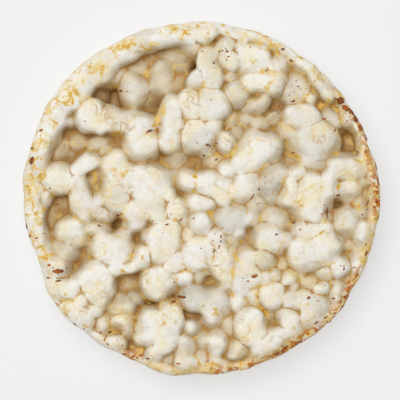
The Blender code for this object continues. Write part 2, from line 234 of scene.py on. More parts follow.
# Grains of the top face: x, y, length, width, turn of the long axis,
# and how far the grain's top lies below the pressed face.
TOP_GRAINS = (
    # upper left: the long bar, the wide pocket's floor and the pocket by the edge
    (-27.3, 20.5, 9.6, 7.2, 75, 0.1),
    (-18.0, 19.0, 14.8, 6.9, -5, 0.0),
    (-17.2, 27.0, 9.5, 7.0, 70, 4.0),
    (-20.2, 30.4, 6.4, 4.6, 20, 3.4),
    (-32.4, 23.6, 7.2, 5.4, 60, 0.5),
    (-24.6, 14.0, 7.0, 5.6, 30, 3.5),
    (-35.3, 12.5, 9.0, 5.5, 75, 4.8),
    (-30.8, 14.2, 7.5, 6.0, 40, 5.2),
    (-9.8, 29.5, 9.5, 6.6, 80, 4.7),
    (-5.2, 34.5, 8.5, 6.5, 80, 4.6),
    (-15.6, 33.2, 9.0, 6.5, 60, 5.0),
    # top
    (1.8, 35.4, 5.6, 5.2, 10, 1.2),
    (6.0, 37.6, 6.0, 5.0, 0, 1.5),
    (6.8, 34.2, 5.0, 5.2, 90, 0.8),
    (2.5, 30.0, 9.0, 5.5, 90, 0.3),
    (-1.4, 29.3, 6.5, 4.6, 70, 0.9),
    (13.0, 34.4, 9.5, 8.2, 60, 0.6),
    (15.0, 29.3, 11.0, 6.2, 10, 0.3),
    (8.8, 26.2, 7.5, 6.6, 60, 1.2),
    (13.6, 23.5, 9.0, 5.0, 22, 2.0),
    (2.4, 23.4, 9.0, 8.4, 0, 0.1),
    (-2.4, 23.0, 8.5, 6.2, 80, 0.3),
    (-7.3, 21.3, 8.8, 5.8, 85, 0.3),
    (-0.8, 15.6, 10.6, 8.4, 10, 0.5),
    (6.0, 14.0, 6.8, 4.2, 85, 0.2),
    (8.8, 15.8, 6.0, 5.2, -20, 3.2),
    (14.6, 18.4, 7.6, 5.2, 50, 3.8),
    (-7.9, 15.6, 9.2, 6.0, 80, 0.6),
    (-14.4, 13.3, 9.4, 7.4, 20, 0.6),
    # middle
    (-7.0, 9.6, 6.5, 5.8, 80, 4.5),
    (-1.8, 8.3, 5.5, 4.8, 45, 5.9),
    (3.4, 9.6, 7.0, 5.0, 55, 2.8),
    (12.4, 11.0, 12.5, 7.2, 40, 0.0),
    (11.0, 3.2, 9.2, 6.8, 80, 0.1),
    (3.6, 3.0, 12.0, 7.0, -8, 0.3),
    (-2.9, 4.2, 6.0, 5.4, 0, 1.2),
    (0.4, -1.2, 9.5, 5.8, 8, 1.0),
    (-6.6, -2.8, 6.6, 5.8, 60, 0.5),
    (-21.0, 6.4, 10.0, 7.6, 112, 0.1),
    (-13.8, 2.2, 16.0, 12.4, 120, 0.0),
    (-15.4, -2.6, 10.0, 7.0, 20, 0.2),
    # left
    (-35.2, 4.8, 9.5, 7.2, 22, 0.0),
    (-29.8, 0.6, 12.4, 5.4, 103, 0.0),
    (-29.4, 8.2, 7.0, 4.4, 35, 0.3),
    (-26.0, 4.6, 8.0, 4.5, 82, 2.9),
    (-32.8, -8.0, 8.4, 6.0, 5, 0.8),
    (-25.5, -7.8, 8.4, 5.0, 0, 1.8),
    (-25.0, -3.2, 8.4, 5.0, -15, 1.4),
    (-33.8, -13.2, 8.0, 6.2, 30, 2.4),
    (-22.0, -13.0, 11.5, 7.8, -10, 0.7),
    (-19.4, -9.0, 5.0, 4.0, 0, 2.6),
    # centre, lower
    (-8.5, -9.6, 10.5, 8.0, 60, 0.4),
    (-10.4, -13.6, 10.0, 6.0, 0, 1.4),
    (0.0, -7.2, 7.5, 6.2, 80, 0.9),
    (-1.2, -13.6, 9.8, 8.4, 90, 0.2),
    (5.3, -15.2, 12.4, 7.0, 95, 0.7),
    (8.2, -5.6, 11.5, 8.6, -5, 0.7),
    (13.8, -0.8, 6.5, 5.2, 30, 2.0),
    # right
    (17.6, 12.4, 8.8, 6.8, 70, 1.4),
    (27.8, 14.2, 12.2, 9.8, -5, 1.1),
    (17.2, 3.8, 12.4, 7.6, 62, 1.0),
    (22.8, 9.0, 7.4, 4.8, -35, 5.0),
    (21.6, 1.8, 8.5, 5.0, 80, 0.9),
    (27.4, 0.0, 13.4, 9.6, 88, 0.5),
    (35.8, 7.8, 11.0, 7.0, -5, 1.4),
    (36.4, 2.6, 8.0, 6.4, 15, 2.6),
    (31.6, 3.8, 7.5, 4.4, 90, 0.6),
    (36.0, -5.8, 8.4, 7.0, 30, 1.7),
    (18.4, -5.6, 9.0, 5.6, -10, 2.2),
    (16.8, -10.4, 10.2, 8.2, 10, 0.8),
    (28.2, -13.0, 14.4, 9.2, 32, 0.5),
    (28.0, -8.2, 10.4, 6.0, 28, 0.8),
    (37.2, -12.0, 5.6, 4.6, 0, 4.1),
    (34.0, -16.6, 8.0, 6.6, 20, 2.4),
    (23.6, 26.8, 8.4, 7.6, -10, 1.6),
    (24.9, 20.0, 9.6, 6.6, -5, 1.2),
    (32.4, 20.2, 7.6, 5.4, -15, 2.7),
    # lower left
    (-26.0, -21.2, 12.5, 8.6, 82, 0.3),
    (-9.6, -19.9, 11.2, 8.0, 28, 1.2),
    (0.6, -24.8, 12.6, 6.8, -8, 1.4),
    (-12.4, -31.8, 10.6, 6.8, 66, 0.5),
    (-11.2, -30.8, 8.0, 7.6, 80, 0.4),
    (-19.6, -27.0, 8.5, 6.2, -5, 2.4),
    (-17.8, -20.8, 7.5, 6.0, 80, 4.9),
    (-8.5, -32.0, 13.0, 6.2, 78, 0.2),
    (-17.8, -31.8, 7.4, 5.0, 70, 2.9),
    (-24.4, -31.6, 6.2, 5.0, 80, 5.1),
    (-36.6, -17.6, 9.0, 5.6, 0, 1.3),
    (-34.6, -22.6, 9.5, 5.6, -10, 0.6),
    (-31.0, -28.8, 10.0, 6.8, -40, 0.7),
    # bottom and lower right
    (2.8, -29.0, 5.8, 4.8, 0, 1.7),
    (4.0, -35.8, 8.0, 5.6, 65, 1.6),
    (9.0, -37.0, 7.0, 5.6, 30, 2.0),
    (11.8, -31.2, 10.5, 7.4, 85, 0.2),
    (9.4, -24.6, 7.8, 5.6, 50, 2.2),
    (10.8, -17.8, 12.4, 7.2, 86, 0.4),
    (15.6, -19.4, 6.4, 6.0, 0, 1.3),
    (17.8, -23.6, 8.2, 6.6, 60, 0.9),
    (21.8, -19.4, 6.0, 4.4, 20, 1.2),
    (26.6, -20.4, 7.2, 5.0, 0, 2.2),
    (22.9, -25.0, 9.2, 6.4, -20, 1.4),
    (28.0, -27.4, 8.8, 7.2, 10, 1.1),
    (22.0, -31.0, 9.6, 6.8, 110, 1.2),
    (32.4, -21.6, 7.0, 5.0, 30, 3.8),
    (33.0, -26.2, 6.0, 4.8, 45, 4.4),
    (16.2, -36.4, 9.0, 6.0, 25, 1.0),
    (-4.2, -38.6, 9.5, 5.6, 88, 1.8),
    # between the others
    (-23.0, 31.8, 8.0, 4.6, 42, 0.7),
    (-7.0, 39.9, 13.0, 5.0, 8, 0.3),
    (-5.4, 29.4, 7.0, 5.2, 80, 6.4),
    (-27.0, 8.8, 5.4, 4.4, 60, 1.4),
    (9.6, 37.6, 5.6, 4.6, 80, 2.5),
    (5.3, 30.2, 6.2, 4.8, 90, 5.8),
    (18.6, 33.6, 8.4, 5.2, -12, 2.4),
    (33.2, 28.2, 10.5, 4.4, -50, 0.6),
    (29.6, 8.6, 6.8, 5.6, 90, 3.0),
    (3.2, 18.2, 6.4, 5.0, 60, 0.7),
    (6.3, 7.4, 5.4, 4.8, 0, 0.8),
    (23.6, 5.6, 5.6, 4.8, 30, 2.2),
    (-31.6, -22.4, 7.2, 5.2, 85, 0.6),
    (-17.0, -6.2, 5.4, 4.4, 0, 2.4),
    (-10.8, -3.8, 6.4, 5.2, 60, 0.7),
    (-21.0, -16.8, 7.2, 4.8, 0, 1.5),
    (-15.4, -14.8, 7.6, 5.6, 60, 0.9),
    (-5.6, -15.4, 6.8, 6.2, 90, 0.7),
    (-4.4, -19.2, 6.2, 5.2, 30, 1.2),
    (3.2, -9.8, 6.2, 5.2, 80, 1.3),
    (15.4, -15.2, 7.2, 5.4, 0, 0.8),
    (13.2, -25.8, 6.8, 5.4, 40, 2.0),
    (20.4, -17.0, 8.4, 5.2, 75, 2.4),
    (39.6, -7.4, 6.2, 4.6, 90, 1.6),
    (-28.8, 26.8, 6.4, 4.4, 50, 0.5),
    (-20.4, 0.4, 9.0, 7.4, 80, 0.2),
    (1.2, 33.2, 5.6, 4.6, 90, 1.0),
    (26.4, 32.6, 7.6, 4.4, -42, 1.6),
    (-29.6, -25.2, 6.2, 5.0, 60, 0.7),
    (-17.6, -17.0, 5.2, 4.0, 0, 1.8),
    (-2.3, -27.6, 6.2, 4.2, 0, 5.2),
    (2.2, -27.6, 5.2, 4.0, 0, 1.6),
    (-11.6, -37.8, 6.2, 4.6, 60, 0.9),
    (-21.0, -36.0, 5.4, 4.2, -40, 1.4),
    (20.6, -10.8, 5.2, 4.4, 90, 2.2),
    (26.2, -30.0, 5.8, 4.4, 60, 1.1),
    (12.8, -34.4, 6.2, 5.2, 0, 0.7),
    (30.6, -5.4, 6.2, 5.0, 70, 2.4),
    (3.6, -38.6, 6.2, 4.6, 90, 4.0),
    (-16.2, 16.4, 6.6, 4.6, 0, 1.0),
    (-23.2, 11.2, 6.2, 4.2, 20, 3.0),
    (1.0, 41.2, 8.2, 4.2, -2, 0.4),
    (26.6, 24.4, 5.2, 4.4, 0, 2.6),
    (18.4, 27.6, 5.6, 4.4, 90, 1.3),
    (21.4, 17.4, 6.2, 5.0, 0, 2.6),
    (36.2, 20.2, 5.4, 4.2, -60, 2.1),
    (-39.2, 0.2, 6.2, 4.4, 90, 1.7),
    (-24.6, -0.4, 5.6, 4.6, 30, 1.2),
    (-30.0, -9.8, 5.2, 4.0, 0, 1.5),
    (6.8, -20.8, 6.2, 4.6, 60, 2.3),
    (7.0, -10.2, 6.2, 4.4, 0, 2.4),
    (5.6, -0.4, 5.6, 4.4, 0, 1.2),
    (20.0, -33.8, 5.8, 4.6, 0, 0.8),
    (-16.2, -25.0, 5.2, 4.2, 0, 3.6),
    (17.0, -30.4, 5.6, 5.0, 80, 3.2),
    (39.4, -1.6, 5.6, 4.4, 80, 3.3),
    (24.4, -7.4, 5.6, 4.6, 60, 1.8),
    (40.3, -8.6, 7.0, 4.6, 78, 2.0),
    (38.2, -15.4, 7.4, 4.8, 68, 3.4),
    (34.2, -23.0, 7.0, 4.8, 56, 2.8),
    (28.6, -29.6, 7.4, 4.8, 44, 3.3),
    (21.8, -34.9, 7.0, 4.6, 32, 3.0),
    (14.1, -38.7, 7.4, 4.6, 20, 3.2),
    (5.7, -40.8, 7.0, 4.6, 8, 4.2),
    (-3.6, -41.0, 7.4, 4.6, -5, 1.6),
    (-29.1, -29.1, 7.0, 4.6, -45, 1.4),
    (7.0, 19.6, 6.0, 4.6, 70, 3.4),
    (2.0, 11.6, 6.4, 4.4, 20, 2.4),
    (18.0, 20.0, 5.0, 4.4, 60, 2.6),
    (7.6, 30.6, 4.6, 3.8, 60, 2.6),
    (40.0, 15.3, 7.0, 3.0, 110, 1.2),
    (31.2, 22.6, 5.0, 4.0, -50, 4.9),
    (-15.6, 7.2, 7.0, 5.0, -20, 1.7),
    (-24.6, 17.2, 4.6, 3.6, 20, 0.6),
    (-26.8, -27.0, 5.4, 4.6, 60, 1.2),
    (-5.0, -6.4, 5.6, 5.0, 60, 2.0),
    (0.2, -18.8, 5.4, 4.4, 0, 1.6),
    (7.0, -13.6, 6.4, 4.0, 90, 1.6),
    (28.2, -3.2, 5.0, 4.0, 90, 0.0),
    (0.4, -35.4, 5.4, 4.4, 90, 3.0),
    (-8.4, 1.0, 5.6, 5.0, 90, 0.5),
    (-3.0, -9.4, 4.8, 3.8, 0, 0.9),
    (-2.6, -31.6, 4.8, 3.8, 60, 2.4),
    (-28.0, -28.6, 4.6, 3.8, 0, 1.0),
    (9.6, -8.4, 5.2, 4.0, 0, 1.2),
    (22.6, -21.6, 4.6, 3.6, 0, 2.0),
    (18.4, -18.8, 4.6, 3.8, 60, 1.9),
    (9.6, -26.4, 5.8, 4.4, 40, 1.7),
    (-17.8, 27.4, 6.4, 4.6, 80, 3.6),
    (-32.6, 19.4, 4.6, 3.8, 60, 2.6),
    (-17.0, 24.0, 5.8, 3.8, -20, 3.2),
    (29.0, 28.6, 6.2, 3.6, -50, 1.4),
    (-14.6, -6.0, 4.4, 3.6, 0, 1.4),
    (-15.4, -34.4, 4.6, 3.6, 60, 2.6),
    (12.4, -5.2, 4.8, 3.8, 60, 1.6),
    (8.4, -38.6, 4.8, 3.6, 0, 1.4),
    (-5.6, 18.6, 4.2, 3.6, 90, 1.4),
    (31.6, 25.6, 4.8, 3.4, -50, 2.0),
    (3.8, 16.4, 4.8, 3.8, 60, 2.2),
    (-28.6, -4.8, 4.6, 3.6, 0, 2.0),
    (17.2, -33.4, 4.2, 3.4, 0, 1.8),
    (29.8, -22.2, 4.2, 3.6, 0, 1.8),
    (-17.8, 4.4, 11.0, 8.2, 104, 0.0),
)

# Pockets, where no grain reached the mould: x, y, length, width, turn, depth.
POCKETS = (
    (-11.6, 29.0, 18.4, 12.4, 42, 5.4),
    (-23.4, 25.6, 5.6, 6.0, 0, 9.0),
    (-32.4, 13.1, 11.0, 8.4, 35, 6.2),
    (-26.6, 3.4, 8.0, 3.4, 85, 3.6),
    (-36.6, -6.4, 9.4, 4.6, 88, 5.6),
    (-20.6, -5.8, 6.4, 4.0, -20, 7.0),
    (-30.8, -14.0, 7.6, 3.4, 62, 5.4),
    (-15.2, -10.0, 6.0, 3.6, 80, 6.4),
    (-18.2, -22.8, 10.4, 8.6, 75, 5.0),
    (-17.9, -36.8, 7.0, 4.2, -12, 6.2),
    (-7.0, -24.8, 9.0, 4.6, 5, 6.8),
    (0.6, -33.0, 8.0, 7.0, 80, 4.6),
    (17.4, -29.4, 4.0, 4.2, 70, 3.8),
    (21.2, -4.6, 5.6, 3.8, 120, 5.0),
    (33.4, -1.4, 6.2, 3.8, 84, 7.0),
    (35.2, 13.5, 7.4, 5.6, 84, 8.2),
    (27.6, 24.5, 7.4, 3.4, 125, 5.4),
    (21.9, 30.4, 5.4, 3.6, -15, 5.2),
    (-5.8, 8.8, 11.0, 5.4, -5, 5.2),
    (-20.2, 15.6, 4.4, 2.6, 0, 6.4),
    (5.0, 39.4, 5.0, 2.4, 0, 4.0),
    (33.8, -10.8, 7.2, 5.8, 0, 7.9),
    (9.8, -12.8, 4.6, 3.6, 0, 4.0),
    (10.2, 20.0, 8.0, 2.8, 10, 4.2),
    (6.0, 11.6, 6.0, 2.6, 20, 4.8),
    (-13.4, -26.6, 7.0, 2.8, 10, 2.7),
    (1.6, -21.2, 7.2, 3.8, 0, 3.8),
    (13.8, -8.0, 5.0, 2.4, 30, 3.6),
    (22.0, 12.0, 8.4, 4.4, 110, 5.0),
    (-31.8, -18.6, 5.0, 2.6, 60, 4.8),
    (16.2, -2.6, 5.0, 3.0, 0, 5.6),
    (-1.6, 36.4, 4.0, 3.4, 90, 2.5),
    (36.4, -19.0, 6.4, 4.2, 60, 3.6),
    (34.0, -25.6, 5.2, 3.2, 45, 3.4),
    (5.4, 31.8, 4.6, 2.6, 60, 6.5),
    (26.6, -22.2, 5.0, 2.4, 0, 3.6),
    (-33.2, -0.6, 6.0, 3.0, -70, 4.5),
    (17.8, 24.8, 5.4, 2.4, -30, 4.4),
)

# Dark red-brown bran on the top face: x, y, length, width, turn.
BRAN = (
    # left
    (-39.5, 16.8, 1.2, 0.8, 20), (-41.8, 12.4, 1.1, 0.7, 0), (-41.8, 9.4, 2.6, 1.5, 70),
    (-43.3, -7.0, 2.0, 0.6, 95), (-42.4, -9.4, 1.0, 0.6, 60), (-40.6, -9.8, 0.9, 0.5, 20),
    (-37.5, -16.5, 1.2, 0.7, 10), (-35.2, -18.0, 3.2, 1.4, 0), (-35.2, -20.3, 2.2, 0.5, 10),
    (-37.8, -19.6, 1.0, 0.5, 0), (-35.8, -1.5, 1.2, 0.4, 25), (-20.5, -4.2, 1.2, 0.6, 0),
    (-20.0, 26.7, 1.0, 0.8, 0), (-12.8, 16.6, 2.2, 0.6, 35), (-10.7, 16.7, 1.2, 0.6, 80),
    (-25.2, -6.8, 1.0, 0.4, 0),
    # top and centre
    (3.1, 33.4, 1.1, 0.4, -60), (6.4, 36.2, 1.0, 0.7, 0), (4.6, 36.2, 0.8, 0.6, 0),
    (6.8, 34.9, 0.8, 0.4, 20), (1.6, 13.2, 1.2, 0.6, 0), (0.7, 10.6, 0.9, 0.5, 0), (3.8, 9.6, 1.0, 0.5, 30),
    (20.3, 36.9, 1.2, 0.6, -30), (22.3, 34.1, 1.2, 0.7, -30), (22.7, 24.0, 1.3, 0.5, 10),
    (19.5, 23.0, 1.0, 0.5, 60), (24.0, 27.6, 0.7, 0.4, 0),
    # right
    (30.6, 19.7, 0.9, 0.6, 0), (33.1, 16.8, 1.0, 0.5, 60), (34.6, 24.2, 2.4, 2.0, -30),
    (35.9, 22.5, 2.2, 1.5, -50), (37.3, 21.5, 2.8, 1.6, -50), (38.4, 19.6, 2.2, 1.5, -60),
    (39.6, 17.5, 2.4, 1.7, -60), (41.1, 15.0, 2.4, 0.7, -66), (42.6, 11.8, 2.4, 0.5, -70),
    (43.5, 8.0, 2.6, 0.5, -78), (43.9, 4.4, 2.4, 0.5, -86), (43.8, 1.6, 1.6, 0.5, 90),
    (40.7, 11.5, 1.0, 0.5, 30), (41.3, -1.2, 2.0, 0.4, 70), (43.0, -2.2, 1.0, 0.6, 0),
    (31.2, -3.5, 3.6, 0.5, 92), (23.0, -6.0, 1.0, 0.6, 0), (22.9, 11.3, 1.0, 0.5, 0),
    (33.9, 0.8, 1.2, 0.4, 10), (18.6, -8.9, 0.9, 0.5, 20), (14.3, 2.3, 1.0, 0.5, 70),
    (12.7, 0.5, 1.8, 0.3, 60),
    # middle, below the centre
    (-8.3, -6.4, 1.2, 0.5, 20), (-13.3, -7.0, 0.9, 0.5, 0), (-5.0, -5.3, 1.4, 0.4, 45),
    (4.9, -9.4, 0.9, 0.5, 90), (4.9, -10.6, 0.8, 0.4, 90), (4.5, -11.9, 1.2, 0.4, 80),
    (3.2, -13.0, 1.2, 0.4, 60), (13.2, -19.2, 1.8, 1.0, 20), (11.6, -20.4, 0.9, 0.5, 0),
    (-4.8, -24.4, 2.8, 0.7, -6), (-6.8, -25.6, 1.6, 0.6, 20),
    # lower right
    (26.6, -24.5, 1.1, 0.8, 30), (32.8, -24.8, 0.9, 0.6, 0), (35.3, -17.5, 1.0, 0.5, 60),
    (28.5, -30.7, 1.4, 0.5, 30), (30.9, -29.5, 1.6, 0.4, 35), (32.2, -30.6, 1.2, 0.5, 40),
    (38.5, -19.2, 1.6, 0.6, 60), (20.8, -37.2, 1.4, 0.8, 30), (18.8, -38.7, 1.6, 0.7, 25),
    (36.0, -24.4, 1.4, 0.7, 55), (40.9, -13.6, 1.6, 0.6, 70),
    # lower left
    (-5.6, -40.8, 1.2, 0.5, 0), (-19.0, -38.6, 1.4, 0.6, 0), (-17.0, -39.2, 1.2, 0.6, 10),
    (-15.0, -39.0, 1.3, 0.6, -10), (-13.2, -39.6, 1.2, 0.5, 0), (-31.3, -31.1, 1.0, 0.5, -40),
    (-22.6, -33.2, 1.2, 0.6, 30), (-23.8, -34.8, 1.6, 0.4, 70), (-23.2, -36.0, 1.2, 0.4, -40),
    (-24.9, -33.2, 1.0, 0.4, 70),
)

# Yellow and orange stains of husk on the top face: x, y, length, width, turn, and how orange.
STAINS = (
    # upper left: the rim and what lies inside it
    (-10.2, 20.4, 7.0, 2.6, 60, 0.1), (-11.6, 18.2, 3.4, 1.6, 50, 0.5), (-20.5, 37.0, 2.6, 1.5, -35, 0.25),
    (-22.0, 37.6, 2.2, 0.9, 20, 0.2), (-30.0, 31.4, 1.8, 0.9, 60, 0.3), (-32.7, 29.0, 2.0, 0.9, 10, 0.3),
    (-29.2, 28.8, 1.8, 0.8, 70, 0.15), (-25.0, 33.4, 2.2, 0.8, 60, 0.1), (-33.3, 25.2, 2.6, 1.0, 25, 0.3),
    (-35.6, 22.6, 3.4, 0.9, 35, 0.2), (-37.2, 20.6, 2.4, 1.0, 100, 0.2), (-39.4, 19.6, 2.2, 0.9, 80, 0.2),
    (-36.4, 18.0, 2.0, 0.9, 40, 0.25), (-40.6, 16.4, 1.6, 0.8, 60, 0.5), (-41.6, 7.6, 1.8, 1.2, 80, 0.3),
    (-42.6, 4.6, 2.0, 0.6, 0, 0.1), (-43.4, 2.4, 2.2, 0.7, 10, 0.1), (-14.6, 39.2, 2.2, 0.6, 80, 0.05),
    (-12.0, 40.6, 2.4, 0.6, 80, 0.05), (-8.6, 42.6, 2.0, 0.6, 70, 0.1), (-1.0, 42.5, 1.8, 1.0, 100, 0.4),
    (-4.6, 42.8, 1.6, 0.6, 20, 0.1), (-21.0, 16.0, 3.2, 2.2, 0, 0.35), (-26.4, 5.0, 5.0, 1.6, 85, 0.35),
    # top and right
    (14.5, 38.3, 2.4, 1.4, 0, 0.25), (18.0, 38.0, 2.0, 1.4, -20, 0.4), (10.6, 39.4, 2.0, 0.7, 20, 0.1),
    (15.0, 31.2, 2.2, 1.2, 80, 0.2), (11.0, 26.8, 1.6, 1.0, 0, 0.3), (13.2, 33.8, 2.8, 0.8, 40, 0.1),
    (-1.9, 1.9, 1.4, 1.0, 0, 0.35), (20.6, 4.8, 4.6, 0.8, 70, 0.4), (17.8, 1.6, 3.4, 0.7, 60, 0.4),
    (24.2, 3.8, 3.0, 0.7, -70, 0.4), (36.8, 6.4, 3.6, 0.8, -60, 0.4), (41.9, 7.0, 2.6, 1.0, 90, 0.3),
    (40.6, 10.0, 2.4, 0.8, -60, 0.3), (29.8, -8.4, 4.4, 0.7, 35, 0.5), (24.6, -13.6, 3.2, 0.7, 20, 0.5),
    (19.4, -12.6, 3.0, 0.7, 70, 0.4), (8.6, -14.4, 4.0, 0.9, 110, 0.25), (7.8, -18.6, 3.4, 0.8, 85, 0.25),
    # lower
    (26.5, -26.0, 1.4, 1.1, 0, 0.15), (28.8, -26.3, 1.2, 0.9, 30, 0.15), (23.0, -32.1, 2.0, 1.1, 40, 0.35),
    (-6.6, -26.0, 3.8, 1.8, 20, 0.15), (-7.0, -20.9, 2.0, 0.8, 0, 0.3), (-14.6, -15.0, 3.4, 0.8, 70, 0.3),
    (-13.0, -25.4, 3.0, 0.7, 20, 0.35), (-9.0, -30.6, 5.0, 0.7, 40, 0.3), (-17.6, -29.2, 3.4, 0.7, 30, 0.3),
    (-35.7, -26.6, 2.0, 1.4, 60, 0.8), (-33.1, -28.9, 2.4, 1.0, -40, 0.5),
    (-33.4, -23.6, 1.8, 0.8, 60, 0.3), (-30.2, -29.4, 2.4, 0.8, 20, 0.3), (-34.2, -25.4, 1.8, 0.7, 0, 0.2),
    (-28.4, -31.6, 2.0, 0.8, -30, 0.3), (-5.0, -43.4, 2.4, 0.8, 0, 0.5), (0.8, -43.2, 3.0, 1.0, 5, 0.6),
    (4.5, -42.9, 2.8, 0.9, 0, 0.7), (2.0, -41.5, 2.0, 0.8, 10, 0.4), (7.0, -42.0, 2.2, 1.0, 10, 0.7),
    (12.0, -42.2, 3.4, 0.9, 12, 0.3), (16.5, -39.7, 2.6, 0.9, 20, 0.6), (24.6, -34.4, 2.8, 1.4, 35, 0.6),
    (27.0, -33.2, 2.4, 1.2, 35, 0.5), (22.0, -36.4, 2.2, 1.2, 30, 0.8), (36.5, -24.8, 2.0, 1.0, 55, 0.9),
    (38.2, -21.0, 2.4, 1.1, 60, 0.9), (41.8, -12.5, 2.8, 1.2, 72, 0.9), (40.8, -15.5, 2.4, 1.1, 70, 0.8),
    (42.8, -9.0, 2.0, 0.9, 78, 0.7), (-36.6, -13.8, 1.4, 0.7, 0, 0.7), (-27.6, -14.6, 3.0, 0.6, 70, 0.3),
    (-20.6, -9.6, 2.2, 0.6, 20, 0.3),
)

# Greyer, finely pitted grains on the top face: x, y, length, width, turn, and how grey.
GREYS = (
    (22.4, 27.0, 9.0, 8.0, 90, 1.0), (3.0, 34.6, 7.0, 7.0, 60, 0.9), (27.6, 14.0, 12.5, 10.0, 0, 0.7),
    (25.2, 20.4, 9.0, 6.0, 0, 0.5), (16.4, 3.4, 7.0, 9.0, 60, 1.0), (6.6, -5.6, 10.0, 8.0, 0, 0.5),
    (-2.6, -23.0, 11.0, 6.0, -10, 0.9), (0.6, 14.4, 9.0, 7.0, 0, 0.7), (28.0, -18.4, 8.0, 6.0, -20, 0.6),
    (36.6, -5.6, 7.0, 7.0, 0, 0.7), (25.0, -25.0, 9.0, 7.0, 0, 0.5), (2.2, 28.6, 5.0, 10.0, 0, 0.5),
    (33.0, 8.4, 9.0, 6.0, 0, 0.4), (-33.0, -12.0, 8.0, 7.0, 60, 0.6), (13.4, 24.6, 9.0, 5.0, 10, 0.6),
    (-41.0, 10.0, 3.0, 9.0, 0, 0.6), (-35.6, -18.2, 7.0, 4.4, 0, 0.7), (41.4, -1.6, 4.0, 5.0, 0, 0.6),
)


# ---- settings that a user would change ----

class RiceCakeShape(bpy.types.PropertyGroup):
    voxel: bpy.props.FloatProperty(
        name="Skin detail", description="Size of the cells that the grains are fused with",
        default=0.00042, min=0.0002, max=0.002, precision=5, unit="LENGTH")
    triangles: bpy.props.IntProperty(
        name="Triangles", description="Most triangles that the fused skin keeps",
        default=190000, min=20000, max=198000)
    flecks: bpy.props.IntProperty(
        name="Bran flecks", description="How many small bran flecks are scattered over the cake",
        default=170, min=0, max=1000)


def colour_property(name, description, default):
    """A colour that a user can pick."""
    return bpy.props.FloatVectorProperty(
        name=name, description=description, subtype="COLOR", size=3, default=default)


class RiceCakeColours(bpy.types.PropertyGroup):
    starch: colour_property("Starch", "Colour of the bulging tops of the grains", (0.93, 0.925, 0.895))
    cream: colour_property("Cream", "Warmer patches and the sides of the grains", (0.91, 0.86, 0.73))
    wash: colour_property("Wash", "Pale yellow washes over some of the starch", (0.93, 0.83, 0.55))
    grey: colour_property(
        "Grey", "How much of each colour is left on the greyer grains", (0.87, 0.865, 0.855))
    # Partly brown husk and partly painted shade in the folds where grains meet.
    crease_husk_and_shade: colour_property("Crease", "The folds where grains meet", (0.45, 0.235, 0.045))
    # Painted shade: this colour darkens the flanks near a seam, in the valleys between grains, and turns
    # them tan.
    flank_shade: colour_property("Flank", "How much of each colour is left near a seam", (0.81, 0.70, 0.515))
    gold: colour_property("Gold", "Bright yellow round the veins and in the stains", (0.86, 0.64, 0.20))
    vein: colour_property("Vein", "Yellow lines of oil and husk in the folds", (0.70, 0.40, 0.035))
    toast: colour_property("Toast", "Browned skin along the edge", (0.56, 0.165, 0.006))
    bran: colour_property("Bran", "Dark red-brown flecks of bran", (0.20, 0.045, 0.018))


class RiceCakeStage(bpy.types.PropertyGroup):
    floor_size: bpy.props.FloatProperty(
        name="Floor size", description="Side of the square floor",
        default=3.0, min=0.5, unit="LENGTH")
    camera_height: bpy.props.FloatProperty(
        name="Camera height", description="Height of the camera above the floor",
        default=0.4267, min=0.1, unit="LENGTH")
    lens: bpy.props.FloatProperty(
        name="Lens", description="Focal length, in millimetres", default=150.0, min=20.0)
    key_power: bpy.props.FloatProperty(
        name="Key light", description="Power of the big soft light overhead",
        default=18.0, min=0.0, subtype="POWER")
    key_size: bpy.props.FloatProperty(
        name="Key size", description="Width of the soft light", default=1.3, min=0.01, unit="LENGTH")
    sky: bpy.props.FloatProperty(
        name="Sky light", description="Strength of the even light from all round", default=0.35, min=0.0)


# ---- where the grains lie ----

def ramp(values, low, high):
    """Values mapped from low..high to 0..1, eased at both ends."""
    share = np.clip((values - low) / (high - low), 0.0, 1.0)
    return share * share * (3.0 - 2.0 * share)


def grain(x, y, z, length, width, thickness, turn):
    """A grain's middle, its size, and the turn of its long axis."""
    return {"centre": (x, y, z), "size": (length, width, thickness), "turn": turn}


def grain_under_top(x, y, length, width, turn, drop):
    """A grain whose top lies `drop` below the pressed face."""
    thickness = (width + GRAIN_THICKNESS) / 2 * TOP_DOME
    z = CAKE_HEIGHT + TOP_PUSH - drop - thickness / 2
    return grain(x, y, z, length, width, thickness, turn)


def grain_at_wall(bearing, inset, z, length, width, thickness):
    """A grain that lies along the wall, its middle `inset` inside the outline."""
    rho = wall_radius(bearing) - inset
    turn = math.degrees(bearing) + 90
    return grain(rho * math.cos(bearing), rho * math.sin(bearing), z, length, width, thickness, turn)


def reach_in_oval(x, y, oval):
    """Distance from an oval's middle, 1 on its edge."""
    middle_x, middle_y, length, width, turn = oval[:5]
    angle = math.radians(turn)
    dx = x - middle_x
    dy = y - middle_y
    along = (dx * math.cos(angle) + dy * math.sin(angle)) / (length / 2)
    across = (dy * math.cos(angle) - dx * math.sin(angle)) / (width / 2)
    return np.hypot(along, across)


def oval_shares(x, y, ovals, span):
    """For each oval, how far places lie in it, fading from 1 to 0 over a span, and its last number."""
    for oval in ovals:
        yield 1.0 - ramp(reach_in_oval(x, y, oval), *span), oval[5]


def pocket_depth(x, y, margin=0.0):
    """Depth of the deepest pocket that comes within a margin of a place, or 0."""
    depths = [
        pocket[5] for pocket in POCKETS
        if reach_in_oval(x, y, pocket) < 1.0 + margin / (pocket[3] / 2)
    ]
    return max(depths, default=0.0)


def pocket_sink(x, y):
    """How far the rim sinks where a pocket cuts into it."""
    sink = 0.0
    for share, depth in oval_shares(x, y, POCKETS, RIM_SINK_SPAN):
        sink = np.maximum(sink, share * depth * RIM_SINK)
    return sink


def wall_radius(bearing):
    """The cake's outline: nearly round, with swells, hollows and small bumps."""
    radius = CAKE_RADIUS + sum(height * np.cos(count * bearing + turn) for count, height, turn in WALL_BUMPS)
    for middle, height, spread in WALL_SWELLS:
        turned_off = np.angle(np.exp(1j * (bearing - math.radians(middle))))
        radius = radius + height * np.exp(-((turned_off / math.radians(spread)) ** 2))
    return radius


